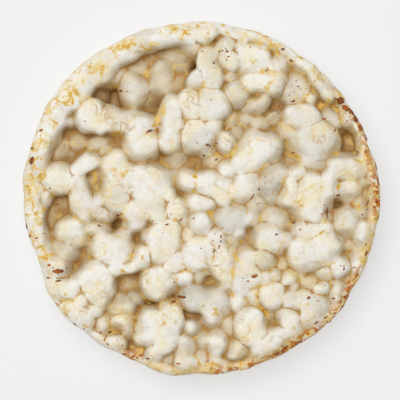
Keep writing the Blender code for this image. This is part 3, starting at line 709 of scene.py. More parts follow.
def rim_share(bearing):
    """1 where the pressed band is widest, 0 all round the other side."""
    return np.maximum(np.cos(bearing - math.radians(RIM_WIDE_SIDE)), 0.0) ** RIM_SHARPNESS


def staggered_places(pitch, radius, rng):
    """Places on a triangular grid inside a circle, each a little off its place."""
    rows = int(radius / pitch) + 2
    for row in range(-rows, rows + 1):
        for column in range(-rows, rows + 1):
            x = (column + 0.5 * (row % 2) + rng.uniform(-JITTER, JITTER)) * pitch
            y = (row * math.sqrt(0.75) + rng.uniform(-JITTER, JITTER)) * pitch
            if math.hypot(x, y) < radius:
                yield x, y


def top_grains(rng):
    """The grains that show."""
    for x, y, length, width, turn, drop in TOP_GRAINS:
        yield grain_under_top(x, y, length, width, turn, drop + rng.uniform(0, DROP_SPREAD))


def rim_grains(rng):
    """The pressed band round the top edge."""
    count = round(math.tau * CAKE_RADIUS / RIM_PITCH)
    for index in range(count):
        bearing = math.tau * (index + rng.uniform(-JITTER, JITTER)) / count
        wide = rim_share(bearing)
        width = RIM_WIDTH + RIM_WIDTH_SPREAD * wide + rng.uniform(-RIM_WIDTH_JITTER, RIM_WIDTH_JITTER)
        length = RIM_PITCH * rng.uniform(*RIM_LENGTHS)
        drop = rng.uniform(*RIM_DROP) + RIM_LOW_SIDE * (1 - wide)
        inset = width / 2 - RIM_OVERHANG
        rho = CAKE_RADIUS - inset
        drop += float(pocket_sink(rho * math.cos(bearing), rho * math.sin(bearing)))
        z = CAKE_HEIGHT - drop - GRAIN_THICKNESS / 2
        yield grain_at_wall(bearing, inset, z, length, width, GRAIN_THICKNESS)


def wall_grains(rng):
    """Two rows of grains round the side, under the rim."""
    count = round(math.tau * CAKE_RADIUS / RIM_PITCH)
    rho = CAKE_RADIUS - WALL_POCKET_INSET
    for number, height in enumerate(WALL_ROWS):
        for index in range(count):
            bearing = math.tau * (index + number / 2 + rng.uniform(-JITTER, JITTER)) / count
            inset = GRAIN_WIDTH / 2 + rng.uniform(*WALL_INSETS)
            length = GRAIN_LENGTH * rng.uniform(*WALL_LENGTHS)
            z = height + rng.uniform(-WALL_HEIGHT_JITTER, WALL_HEIGHT_JITTER)
            if pocket_depth(rho * math.cos(bearing), rho * math.sin(bearing), WALL_POCKET_MARGIN):
                z -= WALL_POCKET_DROP
            yield grain_at_wall(bearing, inset, z, length, GRAIN_WIDTH, WALL_THICKNESS)


def middle_grains(rng):
    """The layer that shows at the bottom of the pockets."""
    for x, y in staggered_places(LAYER_PITCH, CAKE_RADIUS - RIM_WIDTH, rng):
        z = MIDDLE_HEIGHT + rng.uniform(-MIDDLE_HEIGHT_JITTER, MIDDLE_HEIGHT_JITTER)
        turn = rng.uniform(0, 180)
        depth = pocket_depth(x, y, MIDDLE_MARGIN)
        if depth:
            z = CAKE_HEIGHT - depth - GRAIN_THICKNESS / 2
        yield grain(x, y, z, GRAIN_LENGTH, LAYER_PITCH, GRAIN_THICKNESS, turn)


def lower_grains(rng):
    """The layer that the cake stands on: one broad grain in the middle, a few others missing."""
    yield grain(0, 0, LOWER_HEIGHT, FOOT_GRAIN, FOOT_GRAIN, GRAIN_THICKNESS, 0)
    for x, y in staggered_places(LOWER_PITCH, CAKE_RADIUS - GRAIN_THICKNESS / 2, rng):
        missing = rng.random() < LOWER_GAPS
        z = LOWER_HEIGHT + rng.choice(LOWER_RISES)
        turn = rng.uniform(0, 180)
        length = GRAIN_LENGTH * rng.uniform(*LOWER_LENGTHS)
        if not missing:
            yield grain(x, y, z, length, LOWER_PITCH, GRAIN_THICKNESS, turn)


def fill_grains(rng):
    """Smaller grains, a little lower, between the ones that show."""
    for x, y in staggered_places(FILL_PITCH, CAKE_RADIUS - FILL_MARGIN, rng):
        drop = FILL_DROP * rng.uniform(*FILL_DROP_SHARES)
        turn = rng.uniform(0, 180)
        if not pocket_depth(x, y, FILL_POCKET_MARGIN):
            yield grain_under_top(x, y, FILL_LENGTH, FILL_WIDTH, turn, drop)


# ---- how a grain is shaped ----

def turned(points, axis, degrees):
    """Points turned about one axis, given as 0, 1 or 2."""
    angle = math.radians(degrees)
    first = (axis + 1) % 3
    second = (axis + 2) % 3
    result = points.copy()
    result[:, first] = points[:, first] * math.cos(angle) - points[:, second] * math.sin(angle)
    result[:, second] = points[:, first] * math.sin(angle) + points[:, second] * math.cos(angle)
    return result


def grain_balls(item, rng):
    """The balls that swell into one grain: their middles, their radii, and how flat they are."""
    length, width, thickness = (side * GRAIN_SWELL for side in item["size"])
    count = max(2, round(BALLS_PER_WIDTH * length / width))
    reach = max(length - width, BALL_REACH * width) / 2
    middles = []
    radii = []
    for index in range(count):
        along = reach * (2 * index / (count - 1) - 1)
        across = rng.uniform(-BALL_WANDER, BALL_WANDER) * width
        up = rng.uniform(-BALL_WANDER, BALL_WANDER) * thickness / 2
        middles.append((along, across, up))
        radii.append(width / 2 * rng.uniform(*BALL_SWELL) - BALL_INSET)
    for _ in range(KNOBS):
        body = rng.randrange(count)
        heading = rng.uniform(0, math.tau)
        climb = rng.uniform(*KNOB_CLIMB)
        reach_out = radii[body] * rng.uniform(*KNOB_REACH)
        side = reach_out * math.cos(climb)
        along, across, up = middles[body]
        middles.append((
            along + side * math.cos(heading),
            across + side * math.sin(heading),
            up + reach_out * math.sin(climb),
        ))
        radii.append(width * rng.uniform(*KNOB_RADIUS) - BALL_INSET)
    middles = np.array(middles)
    middles[:, 2] *= thickness / width
    middles = turned(middles, 0, rng.uniform(-GRAIN_TILT, GRAIN_TILT))
    middles = turned(middles, 1, rng.uniform(-GRAIN_TILT, GRAIN_TILT))
    middles = turned(middles, 2, item["turn"])
    return middles + np.array(item["centre"]), np.array(radii), thickness / width


def grain_nearness(x, y, z, balls):
    """1 on a grain's surface, more inside it and less outside, at places that are broadcast together."""
    middles, radii, flatness = balls
    total = 0.0
    for (middle_x, middle_y, middle_z), radius in zip(middles, radii):
        squares = (x - middle_x) ** 2 + (y - middle_y) ** 2 + ((z - middle_z) / flatness) ** 2
        total = total + np.exp((radius - np.sqrt(squares)) / BALL_BLEND)
    return total


def rounded_depth(across, up, rounding):
    """How far places lie outside a shape with rounded corners, from how far outside its core they lie."""
    corner = np.hypot(np.maximum(across, 0), np.maximum(up, 0))
    return corner + np.minimum(np.maximum(across, up), 0) - rounding


def press_depth(x, y, z):
    """How far places lie outside the mould: less than 0 inside it."""
    middle = CAKE_HEIGHT / 2
    upper = z > middle
    shoulder = np.where(upper, TOP_SHOULDER, FOOT_SHOULDER)
    half = np.where(upper, middle, middle + FOOT_TRIM)
    out = np.hypot(x, y) - (wall_radius(np.arctan2(y, x)) - shoulder)
    up = np.abs(z - middle) - (half - shoulder)
    return rounded_depth(out, up, shoulder)


def rim_band_depth(x, y, z):
    """How far places lie outside the smooth band under the rim's grains."""
    bearing = np.arctan2(y, x)
    wide = rim_share(bearing)
    wander = sum(np.cos(count * bearing + turn) for count, turn in RIM_WANDER) * RIM_WANDER_DEPTH
    width = RIM_WIDTH + RIM_WIDTH_SPREAD * wide + wander
    across = np.abs(np.hypot(x, y) - (wall_radius(bearing) - width / 2)) - (width / 2 - RIM_ROUND)
    lower = RIM_LOW_SIDE * (1 - wide) + pocket_sink(x, y)
    up = np.abs(z - RIM_MIDDLE + lower) - (RIM_DEEP / 2 - RIM_ROUND)
    return rounded_depth(across, up, RIM_ROUND)


def core_depth(x, y, z):
    """How far places lie outside the disc that closes the cake's inside."""
    across = np.hypot(x, y) - CORE_RADIUS
    up = np.abs(z - (CORE_LOW + CORE_HIGH) / 2) - (CORE_HIGH - CORE_LOW) / 2
    return np.maximum(across, up)


# ---- the fused skin ----

def all_grains():
    """Every grain of every layer, as balls."""
    layers = (top_grains, rim_grains, wall_grains, middle_grains, lower_grains, fill_grains)
    grains = []
    for number, layer in enumerate(layers):
        places = random.Random(SEED + number)
        shapes = random.Random(SEED - number)
        grains += [grain_balls(item, shapes) for item in layer(places)]
    return grains


def grid_lines(low, high, step):
    """Places a step apart, from low to just past high."""
    return np.arange(low, high + step, step)


def near_grain(lines, balls, axis):
    """The stretch of grid lines that a grain can reach."""
    middles, radii, _ = balls
    low = middles[:, axis].min() - radii.max() - BLEND_REACH
    high = middles[:, axis].max() + radii.max() + BLEND_REACH
    return slice(*np.searchsorted(lines, (low, high)))


def grid_noise(lines, wavelength, seed):
    """Smooth random values on a grid, from -1 to 1, with lumps about a wavelength across."""
    sizes = [int((line[-1] - line[0]) / wavelength) + 3 for line in lines]
    values = np.random.default_rng(seed).uniform(-1, 1, sizes)
    for axis, line in enumerate(lines):
        place = (line - line[0]) / wavelength
        cell = place.astype(int)
        share = ramp(place - cell, 0.0, 1.0).reshape([-1 if other == axis else 1 for other in range(3)])
        values = np.take(values, cell, axis) * (1 - share) + np.take(values, cell + 1, axis) * share
    return values


def grid_value(field, lines, points):
    """A grid's values at places in between, from the eight grid points round each."""
    step = lines[0][1] - lines[0][0]
    low = np.array([line[0] for line in lines])
    place = np.clip((points - low) / step, 0, np.array(field.shape) - 1.001)
    cell = place.astype(np.int32)
    share = place - cell
    value = 0.0
    for corner in np.ndindex(2, 2, 2):
        near = np.prod(np.where(corner, share, 1 - share), axis=-1)
        value = value + near * field[tuple(cell[..., axis] + corner[axis] for axis in range(3))]
    return value


def crumpling(lines):
    """How far each place on the grid is pulled aside along each axis, so that no grain stays plain."""
    pulls = []
    for axis in range(3):
        pull = 0.0
        for number, (wavelength, reach) in enumerate(CRUMPLES):
            seed = SEED + CRUMPLE_SEED_STEP * number + axis
            pull = pull + reach * grid_noise(lines, wavelength, seed)
        pulls.append(pull)
    return pulls


def crumpled(field, lines, pulls):
    """The field with its places pulled aside, one layer of the grid at a time."""
    result = np.empty_like(field)
    for layer, x in enumerate(lines[0]):
        y, z = np.meshgrid(lines[1], lines[2], indexing="ij")
        places = [x + pulls[0][layer], y + pulls[1][layer], z + pulls[2][layer]]
        result[layer] = grid_value(field, lines, np.stack(places, axis=-1))
    return result


def cake_field(grains, step):
    """Distance outside the fused grains on a grid, and the grid's lines."""
    side = grid_lines(-CAKE_RADIUS - FIELD_MARGIN, CAKE_RADIUS + FIELD_MARGIN, step)
    lines = (side, side, grid_lines(-FIELD_MARGIN, CAKE_HEIGHT + FIELD_MARGIN, step))
    spread = np.ix_(*lines)
    core = np.minimum(core_depth(*spread), CLEAR)
    band = np.clip(rim_band_depth(*spread), -CLEAR, CLEAR)
    totals = [np.exp(-core / blend) + np.exp(-band / blend) for blend in GRAIN_BLENDS]
    for balls in grains:
        block = tuple(near_grain(line, balls, axis) for axis, line in enumerate(lines))
        near = grain_nearness(*np.ix_(*(line[part] for line, part in zip(lines, block))), balls)
        for total, blend in zip(totals, GRAIN_BLENDS):
            total[block] += near ** (BALL_BLEND / blend)
    crisp, soft = (blend * (SWELLING - np.log(total)) for total, blend in zip(totals, GRAIN_BLENDS))
    share = ramp(grid_noise(lines, BLEND_PATCH, BLEND_SEED), *BLEND_SHARES)
    field = crumpled(crisp + (soft - crisp) * share, lines, crumpling(lines))
    for number, (wavelength, height) in enumerate(LUMPS):
        field += height * grid_noise(lines, wavelength, SEED + number)
    field = np.logaddexp(field / PRESS_BLEND, press_depth(*spread) / PRESS_BLEND) * PRESS_BLEND
    return field.astype(np.float32), lines


def cake_skin(field, lines):
    """The skin of a field, in metres."""
    grid = openvdb.FloatGrid()
    grid.copyFromArray(field)
    points, quads = grid.convertToQuads()[:2]
    step = lines[0][1] - lines[0][0]
    points = (points * step + np.array([line[0] for line in lines])) * MM
    mesh = bpy.data.meshes.new("skin")
    mesh.from_pydata(points, [], quads)
    mesh.update()
    return mesh


def evaluated_mesh(mesh, add_modifiers):
    """A copy of a mesh with modifiers applied."""
    holder = bpy.data.objects.new("holder", mesh)
    bpy.context.scene.collection.objects.link(holder)
    add_modifiers(holder)
    graph = bpy.context.evaluated_depsgraph_get()
    result = bpy.data.meshes.new_from_object(holder.evaluated_get(graph))
    bpy.data.objects.remove(holder, do_unlink=True)
    bpy.data.meshes.remove(mesh)
    return result


def vertex_values(mesh, name):
    """A row of three values for each vertex, such as its place or its normal."""
    flat = np.empty(len(mesh.vertices) * 3)
    mesh.vertices.foreach_get(name, flat)
    return flat.reshape(-1, 3)


def edge_ends(mesh):
    """A row for each edge, with the indices of its two vertices."""
    flat = np.empty(len(mesh.edges) * 2, dtype=np.int32)
    mesh.edges.foreach_get("vertices", flat)
    return flat.reshape(-1, 2)


def outer_skin(mesh):
    """The mesh without the skins of the gaps that are sealed inside the cake."""
    ends = edge_ends(mesh)
    label = np.arange(len(mesh.vertices))
    while True:
        lowest = np.minimum(label[ends[:, 0]], label[ends[:, 1]])
        updated = label.copy()
        np.minimum.at(updated, ends[:, 0], lowest)
        np.minimum.at(updated, ends[:, 1], lowest)
        updated = updated[updated]
        if np.array_equal(updated, label):
            break
        label = updated
    largest = np.bincount(label).argmax()
    inner = np.flatnonzero(label != largest)
    if len(inner):
        shell = bmesh.new()
        shell.from_mesh(mesh)
        shell.verts.ensure_lookup_table()
        bmesh.ops.delete(shell, geom=[shell.verts[index] for index in inner], context="VERTS")
        shell.to_mesh(mesh)
        shell.free()
    return mesh


def finished_skin(shape, field, lines):
    """The cake's outer skin, thinned out, with flat feet."""
    def refine(holder):
        thin = holder.modifiers.new("thin_out", "DECIMATE")
        thin.ratio = min(1.0, shape.triangles / (2 * len(holder.data.polygons)))

    skin = evaluated_mesh(outer_skin(cake_skin(field, lines)), refine)
    points = vertex_values(skin, "co")
    points[:, 2] = np.maximum(points[:, 2], 0.0)
    skin.vertices.foreach_set("co", points.ravel())
    skin.update()
    return skin


# ---- what the skin's material reads ----

def neighbour_mean(values, ends, counts):
    """Mean of each point's neighbours, for one row of values a point."""
    total = np.zeros_like(values)
    for column in range(values.shape[1]):
        total[:, column] += np.bincount(ends[:, 0], values[ends[:, 1], column], len(values))
        total[:, column] += np.bincount(ends[:, 1], values[ends[:, 0], column], len(values))
    return total / counts[:, None]


def smoothed(values, ends, rounds):
    """Rows of values, each drawn halfway to its neighbours' mean in every round."""
    counts = np.bincount(ends.ravel(), minlength=len(values)).astype(float)
    for _ in range(rounds):
        values = 0.5 * values + 0.5 * neighbour_mean(values, ends, counts)
    return values


def hollow_at(points, normals, ends, rounds):
    """How far the skin dips below its own smoothed shape: above 0 in a fold."""
    return ((smoothed(points, ends, rounds) - points) * normals).sum(axis=1) / MM


def sky_share(points, normals, field, lines):
    """Share of the light from above that reaches each point, 0 to 1."""
    step = lines[0][1] - lines[0][0]
    low = np.array([line[0] for line in lines])
    limit = np.array(field.shape) - 1
    start = points + normals * SKY_LIFT
    seen = np.zeros(len(points))
    total = 0.0
    for climb, count in SKY_RINGS:
        flat = math.cos(math.radians(climb))
        weight = flat / count
        for index in range(count):
            turn = math.tau * (index + 0.5) / count
            way = np.array((flat * math.cos(turn), flat * math.sin(turn), math.sin(math.radians(climb))))
            clear = np.ones(len(points))
            for distance in SKY_STEPS:
                place = (start + way * distance - low) / step
                cell = np.clip(place.round().astype(int), 0, limit)
                gap = field[cell[:, 0], cell[:, 1], cell[:, 2]]
                clear = np.minimum(clear, np.clip(gap / SKY_SOFTNESS, 0, 1))
            seen += weight * clear
            total += weight
    edge = ramp(np.hypot(points[:, 0], points[:, 1]), *(CAKE_RADIUS - inset for inset in SKY_EDGE))
    return np.maximum(seen / total, edge)


def nearest_grains(points, grains):
    """For each point: how far outside its nearest grain and the next it lies, and the nearest's index."""
    first = np.full(len(points), FAR)
    second = np.full(len(points), FAR)
    nearest = np.zeros(len(points), dtype=int)
    for index, balls in enumerate(grains):
        middles, radii, _ = balls
        low = middles.min(axis=0) - radii.max() - BLEND_REACH
        high = middles.max(axis=0) + radii.max() + BLEND_REACH
        close = np.flatnonzero(((points > low) & (points < high)).all(axis=1))
        distance = -BALL_BLEND * np.log(grain_nearness(*points[close].T, balls))
        closer = distance < first[close]
        second[close] = np.where(closer, first[close], np.minimum(second[close], distance))
        first[close] = np.where(closer, distance, first[close])
        nearest[close[closer]] = index
    return first, second, nearest


def on_side(bearing, side):
    """1 on one side of the cake, fading to 0 away from it."""
    middle, start, full = side
    return ramp(np.cos(bearing - math.radians(middle)), start, full)


def less_below(points, least):
    """How much of a look is left at each point: all of it above, and the least low on the wall."""
    return least + (1 - least) * ramp(points[:, 2], *LOOKS_HEIGHTS)


def toast_share(points):
    """Where the edge was browned: most along the lower right, less along the bottom."""
    bearing = np.arctan2(points[:, 1], points[:, 0])
    edge = ramp(np.hypot(points[:, 0], points[:, 1]) - wall_radius(bearing), *TOAST_REACH)
    sides = np.maximum(on_side(bearing, TOAST_RIGHT), TOAST_BOTTOM_SHARE * on_side(bearing, TOAST_BOTTOM))
    return edge * sides * less_below(points, SIDE_TOAST)


def vein_share(points, seams):
    """How thick the yellow veins lie: most on the rim's upper half, elsewhere thin and mostly in seams."""
    bearing = np.arctan2(points[:, 1], points[:, 0])
    rim = ramp(np.hypot(points[:, 0], points[:, 1]), *VEINS_REACH)
    sides = np.maximum(on_side(bearing, VEINS_LEFT), on_side(bearing, VEINS_RIGHT))
    thick = rim * (RIM_VEINS + (1 - RIM_VEINS) * sides) * less_below(points, SIDE_VEINS)
    return np.maximum(SEAM_VEINS * seams, thick)


def stained(points):
    """How strong the stains are at each point, and how orange."""
    strength = np.zeros(len(points))
    orange = np.zeros(len(points))
    for share, tone in oval_shares(points[:, 0], points[:, 1], STAINS, STAIN_SPAN):
        orange = np.where(share > strength, tone, orange)
        strength = np.maximum(strength, share)
    return strength, orange


def greyed(points):
    """How grey and pitted the starch is at each point."""
    grey = np.zeros(len(points))
    for share, strength in oval_shares(points[:, 0], points[:, 1], GREYS, GREY_SPAN):
        grey = np.maximum(grey, strength * share)
    return grey


def paint_skin(mesh, field, lines, grains):
    """Attributes that the material reads: folds, pockets, seams, the browned edge, and each grain's tint;
    the sky each point sees, the valleys and the folds also set painted shade.
    """
    places = vertex_values(mesh, "co")
    points = places / MM
    normals = vertex_values(mesh, "normal")
    ends = edge_ends(mesh)
    pulls = np.stack([grid_value(pull, lines, points) for pull in crumpling(lines)], axis=-1)
    first, second, nearest = nearest_grains(points + pulls, grains)
    tints = np.random.default_rng(SEED).uniform(0, 1, len(grains))[nearest]
    sky = sky_share(points, normals, field, lines)
    stain, orange = stained(points)
    painted = {
        "fold": ramp(hollow_at(places, normals, ends, FOLD_ROUNDS), *FOLD_DEPTHS),
        "valley": ramp(hollow_at(places, normals, ends, VALLEY_ROUNDS), *VALLEY_DEPTHS),
        "seam": 1.0 - np.clip((second - first) / SEAM_WIDTH, 0.0, 1.0),
        # the share of sky, which the material turns into painted shade
        "sky": smoothed(sky[:, None], ends, TINT_ROUNDS)[:, 0],
        "tint": smoothed(tints[:, None], ends, TINT_ROUNDS)[:, 0],
        "toast": toast_share(points),
        "veins": vein_share(points, ramp(first - second, *VEINED_SEAMS)),
        "grey": greyed(points),
        "stain": stain,
        "orange": orange,
    }
    for name, values in painted.items():
        layer = mesh.attributes.new(name, "FLOAT", "POINT")
        layer.data.foreach_set("value", values.astype(np.float32))


# ---- bran flecks ----

def skin_below(tree, place):
    """The skin's point straight below a place on the plan, in metres, and the way it faces there."""
    x, y = place
    return tree.ray_cast(Vector((x * MM, y * MM, 2 * CAKE_HEIGHT * MM)), Vector((0, 0, -1)))[:2]


def fleck_ring(fleck, raggedness, share):
    """Places on the plan round one ragged fleck, at a share of the way to its edge."""
    x, y, length, width, turn = fleck
    angle = math.radians(turn)
    ring = []
    for corner, reach in enumerate(raggedness):
        around = math.tau * corner / len(raggedness)
        along = share * reach * length / 2 * math.cos(around)
        across = share * reach * width / 2 * math.sin(around)
        ring.append((
            x + along * math.cos(angle) - across * math.sin(angle),
            y + along * math.sin(angle) + across * math.cos(angle),
        ))
    return ring


def fleck_point(tree, place, middle, lift):
    """A point of a fleck, lifted off the skin, or off its middle where the skin falls away."""
    spot, facing = skin_below(tree, place)
    if spot is None or abs(spot.z - middle[0].z) > FLECK_REACH * MM:
        x, y = place
        spot = (Vector((x * MM, y * MM, middle[0].z)) + middle[0]) / 2
        facing = middle[1]
    return spot + facing * lift * MM


def add_fleck(mesh, tree, fleck, rng):
    """One closed flake that follows the skin, its edge sunk into it."""
    middle = skin_below(tree, fleck[:2])
    if middle[0] is None:
        return
    raggedness = [rng.uniform(*FLECK_RAGGED) for _ in range(FLECK_CORNERS)]
    top = mesh.verts.new(middle[0] + middle[1] * FLECK_LIFT * MM)
    bottom = mesh.verts.new(middle[0] - middle[1] * FLECK_ROOT * MM)
    rings = []
    for share, lift in FLECK_RINGS:
        places = fleck_ring(fleck, raggedness, share)
        rings.append([mesh.verts.new(fleck_point(tree, place, middle, lift)) for place in places])
    for corner in range(FLECK_CORNERS):
        after = (corner + 1) % FLECK_CORNERS
        mesh.faces.new((top, rings[0][corner], rings[0][after]))
        for inner, outer in zip(rings, rings[1:]):
            mesh.faces.new((inner[corner], outer[corner], outer[after], inner[after]))
        mesh.faces.new((bottom, rings[-1][after], rings[-1][corner]))


def scattered_flecks(count, rng):
    """Small flecks: some near the ones that are laid out, the others anywhere on top."""
    for _ in range(count):
        if rng.random() < FLECK_COMPANY:
            x, y = rng.choice(BRAN)[:2]
            x += rng.gauss(0, FLECK_SPREAD)
            y += rng.gauss(0, FLECK_SPREAD)
        else:
            rho = (CAKE_RADIUS - FLECK_MARGIN) * math.sqrt(rng.random())
            bearing = rng.uniform(0, math.tau)
            x = rho * math.cos(bearing)
            y = rho * math.sin(bearing)
        yield x, y, rng.uniform(*FLECK_LENGTHS), rng.uniform(*FLECK_WIDTHS), rng.uniform(0, 180)


def fleck_mesh(skin, count):
    """All the flecks on a skin, in one mesh."""
    tree = BVHTree.FromObject(skin, bpy.context.evaluated_depsgraph_get())
    rng = random.Random(SEED)
    mesh = bmesh.new()
    for fleck in (*BRAN, *scattered_flecks(count, rng)):
        add_fleck(mesh, tree, fleck, rng)
    data = bpy.data.meshes.new("bran_flecks")
    mesh.to_mesh(data)
    mesh.free()
    return data


# ---- materials ----

# Painted shade: how much of each colour is left where little sky is seen, from none to all of it.
PAINTED_SKY_SHADE = (
    (0.22, (0.52, 0.365, 0.195)),
    (0.36, (0.60, 0.465, 0.29)),
    (0.50, (0.67, 0.565, 0.415)),
    (0.66, (0.745, 0.66, 0.53)),
    (0.82, (0.84, 0.78, 0.69)),
    (0.98, (1.0, 0.995, 0.985)),
)

# How a grain's own tint greys it.
GRAIN_TONES = (
    (0.0, (0.88, 0.865, 0.83)),
    (0.25, (1.0, 1.0, 1.0)),
)

# How an uneven grain darkens the colour, over the range of its noise.
MOTTLE = (
    (0.30, (0.935, 0.92, 0.895)),
    (0.50, (0.985, 0.98, 0.975)),
    (0.62, (1.0, 1.0, 1.0)),
)

# Noise: cells a metre, detail and distortion.
MOTTLE_NOISE = (1700.0, 2.0, 0.0)
VEIN_NOISE = (230.0, 4.0, 0.0)
TOAST_DEPTHS = (600.0, 4.0, 0.4)
WRINKLES = (520.0, 2.0, 0.6)
PORES = (1500.0, 3.0, 0.0)
HUSK = (2600.0, 3.0, 0.0)

# Patterns of noise: cells a metre, detail, distortion, the ends of the range of the noise that
# counts, and what those ends stand for.
CREAM_PATCHES = (170.0, 3.0, 0.3, 0.36, 0.66, 0.05, 0.9)
YELLOW_WASHES = (125.0, 4.0, 0.5, 0.50, 0.66, 0.0, 0.55)
UNEVEN_SHADE = (330.0, 4.0, 0.0, 0.3, 0.7, -0.08, 0.08)
SEAM_STRENGTH = (190.0, 4.0, 0.4, 0.38, 0.54, 0.35, 1.0)
RUSTY_PLACES = (250.0, 4.0, 0.0, 0.54, 0.64, 0.0, 0.5)
FOLDED_PLACES = (170.0, 3.0, 0.0, 0.45, 0.57, 0.0, 1.0)
BROWN_FOLDS = (200.0, 3.0, 0.0, 0.5, 0.62, 0.0, 1.0)
DEEP_VEINS = (480.0, 3.0, 0.0, 0.38, 0.56, 0.0, 1.0)
STAIN_EDGES = (700.0, 4.0, 0.5, 0.3, 0.7, -0.55, 0.45)
TOAST_PATCHES = (130.0, 2.0, 0.0, 0.36, 0.54, 0.2, 1.0)
TOAST_GOLD = (300.0, 3.0, 0.0, 0.34, 0.6, 0.0, 0.9)
TOAST_STREAKS = (640.0, 4.0, 0.9, 0.44, 0.53, 0.0, 1.0)
GREY_PITS = (300.0, 3.0, 0.0, 0.4, 0.6, 0.0, 1.0)
SPECK_CLUSTERS = (160.0, 5.0, 0.0, 0.57, 0.68, 0.0, 1.0)
GRAIN_ROUGHNESS = (900.0, 3.0, 0.0, 0.3, 0.7, 0.55, 0.8)
PALE_HUSK = (700.0, 4.0, 0.0, 0.40, 0.66, 0.0, 0.75)
FLECK_ROUGHNESS = (1500.0, 3.0, 0.0, 0.3, 0.7, 0.45, 0.7)

# Ranges that are eased from 0 to 1: of an attribute, a noise, or the nearness to a line.
# the span of a seam over which its painted shade on the flanks grows
FLANK_SHADE_SPAN = (0.45, 1.0)
SEAM_SPAN = (0.84, 0.98)
VEIN_SPAN = (0.44, 0.58)
VEIN_CORE = (0.62, 1.0)
STAINED_SPAN = (0.25, 0.95)
STAIN_YELLOW = (0.0, 0.5)
STAIN_ORANGE = (0.5, 1.0)
TOAST_ORANGE = (0.36, 0.46)
TOAST_DARK = (0.58, 0.64)

# How strongly a look covers what lies under it.
TINT_CREAM = 0.3           # cream, at a grain's full tint
VEIN_GOLD = 0.9
FOLD_GOLD = 0.5
STAIN_COVER = 0.85
SPECK_COVER = 0.5

# Nets of fine lines: how much a noise pulls them aside (cells a metre, and how far in metres),
# the net's cells a metre, and the width of a line as a share of a cell.
VEIN_WARP = (420.0, 0.0035)
VEIN_CELLS = 320.0
VEIN_WIDTH = 0.27
FOLD_WARP = (190.0, 0.009)
FOLD_CELLS = 125.0
FOLD_WIDTH = 0.06
GROOVE_WIDTH = 0.2
VEIN_LACK = (-0.22, 0.0)   # added to the veins' noise where they are rare, and where they are thick
GROOVE_DEPTH = 0.8         # how deep a fold's groove is beside the wrinkles' height

SPECK_CELLS = 950.0        # cells a metre, with one speck in each
SPECK_SIZES = (0.06, 0.22)  # a speck's core and its edge, as shares of a cell

# Bumps: strength, and depth in metres.
WRINKLE_BUMP = (0.5, 0.0004)
PORE_BUMP = (0.5, 0.0002)
HUSK_BUMP = (0.6, 0.00015)


def new_material(name):
    """A new material, its node tree and its shader."""
    material = bpy.data.materials.new(name)
    material.use_nodes = True
    return material, material.node_tree, material.node_tree.nodes["Principled BSDF"]


def feed(tree, socket, value):
    """Links a socket to another, or sets it to a number, a vector or a colour."""
    if isinstance(value, bpy.types.NodeSocket):
        tree.links.new(value, socket)
    elif socket.type == "RGBA":
        socket.default_value = (*value, 1.0)
    else:
        socket.default_value = value


def feed_all(tree, node, inputs):
    """Feeds a node's inputs, given by name or number."""
    for name, value in inputs.items():
        feed(tree, node.inputs[name], value)


def add_node(tree, kind, inputs=None, **settings):
    """A node with its settings, and inputs by name or number."""
    node = tree.nodes.new(kind)
    for name, value in settings.items():
        setattr(node, name, value)
    feed_all(tree, node, inputs or {})
    return node


def attribute(tree, name):
    """A number that was painted on the skin."""
    return add_node(tree, "ShaderNodeAttribute", attribute_name=name).outputs["Fac"]


def object_place(tree):
    """The place on the piece, in metres."""
    return add_node(tree, "ShaderNodeTexCoord").outputs["Object"]


def noise(tree, place, scale, detail, distortion):
    """Cloudy noise from 0 to 1, most of it near the middle."""
    inputs = {"Vector": place, "Scale": scale, "Detail": detail, "Distortion": distortion}
    return add_node(tree, "ShaderNodeTexNoise", inputs).outputs["Fac"]


def eased(tree, value, low, high, start=0.0, end=1.0):
    """A value mapped from low..high to start..end, eased at both ends."""
    inputs = {"Value": value, "From Min": low, "From Max": high, "To Min": start, "To Max": end}
    node = add_node(tree, "ShaderNodeMapRange", inputs, interpolation_type="SMOOTHSTEP", clamp=True)
    return node.outputs["Result"]


def patterned(tree, place, pattern):
    """A pattern of noise, eased over its own range."""
    return eased(tree, noise(tree, place, *pattern[:3]), *pattern[3:])


def calculated(tree, operation, first, second):
    """Math on two sockets or numbers, kept between 0 and 1."""
    node = add_node(tree, "ShaderNodeMath", {0: first, 1: second}, operation=operation, use_clamp=True)
    return node.outputs["Value"]


def product(tree, first, *others):
    """Sockets and numbers multiplied together, kept between 0 and 1."""
    for other in others:
        first = calculated(tree, "MULTIPLY", first, other)
    return first


def blended(tree, share, first, second, way="MIX"):
    """Colour mixed from first to second by share."""
    inputs = {"Factor": share, 6: first, 7: second}
    return add_node(tree, "ShaderNodeMix", inputs, data_type="RGBA", blend_type=way).outputs[2]


def multiplied(tree, first, second):
    """Colour with only a share of each of its parts left."""
    return blended(tree, 1.0, first, second, "MULTIPLY")


def ramped(tree, value, stops):
    """A colour from a ramp of places and colours."""
    node = add_node(tree, "ShaderNodeValToRGB", {"Fac": value})
    elements = node.color_ramp.elements
    while len(elements) < len(stops):
        elements.new(0.5)
    for element, (place, colour) in zip(elements, stops):
        element.position = place
        element.color = (*colour, 1.0)
    return node.outputs["Color"]


def vector_math(tree, operation, inputs):
    """Math on places and pulls."""
    return add_node(tree, "ShaderNodeVectorMath", inputs, operation=operation).outputs["Vector"]


def warped(tree, place, scale, reach):
    """The place pulled aside by a noise, by up to about half of reach, in metres."""
    inputs = {"Vector": place, "Scale": scale, "Detail": 3.0}
    pull = add_node(tree, "ShaderNodeTexNoise", inputs).outputs["Color"]
    centred = vector_math(tree, "SUBTRACT", {0: pull, 1: (0.5, 0.5, 0.5)})
    scaled = vector_math(tree, "SCALE", {0: centred, "Scale": reach})
    return vector_math(tree, "ADD", {0: place, 1: scaled})


def net_lines(tree, place, scale, width):
    """1 on the lines of a net, falling to 0 at a width beside them, in the net's own cells."""
    inputs = {"Vector": place, "Scale": scale}
    net = add_node(tree, "ShaderNodeTexVoronoi", inputs, feature="DISTANCE_TO_EDGE")
    return eased(tree, net.outputs["Distance"], 0.0, width, 1.0, 0.0)


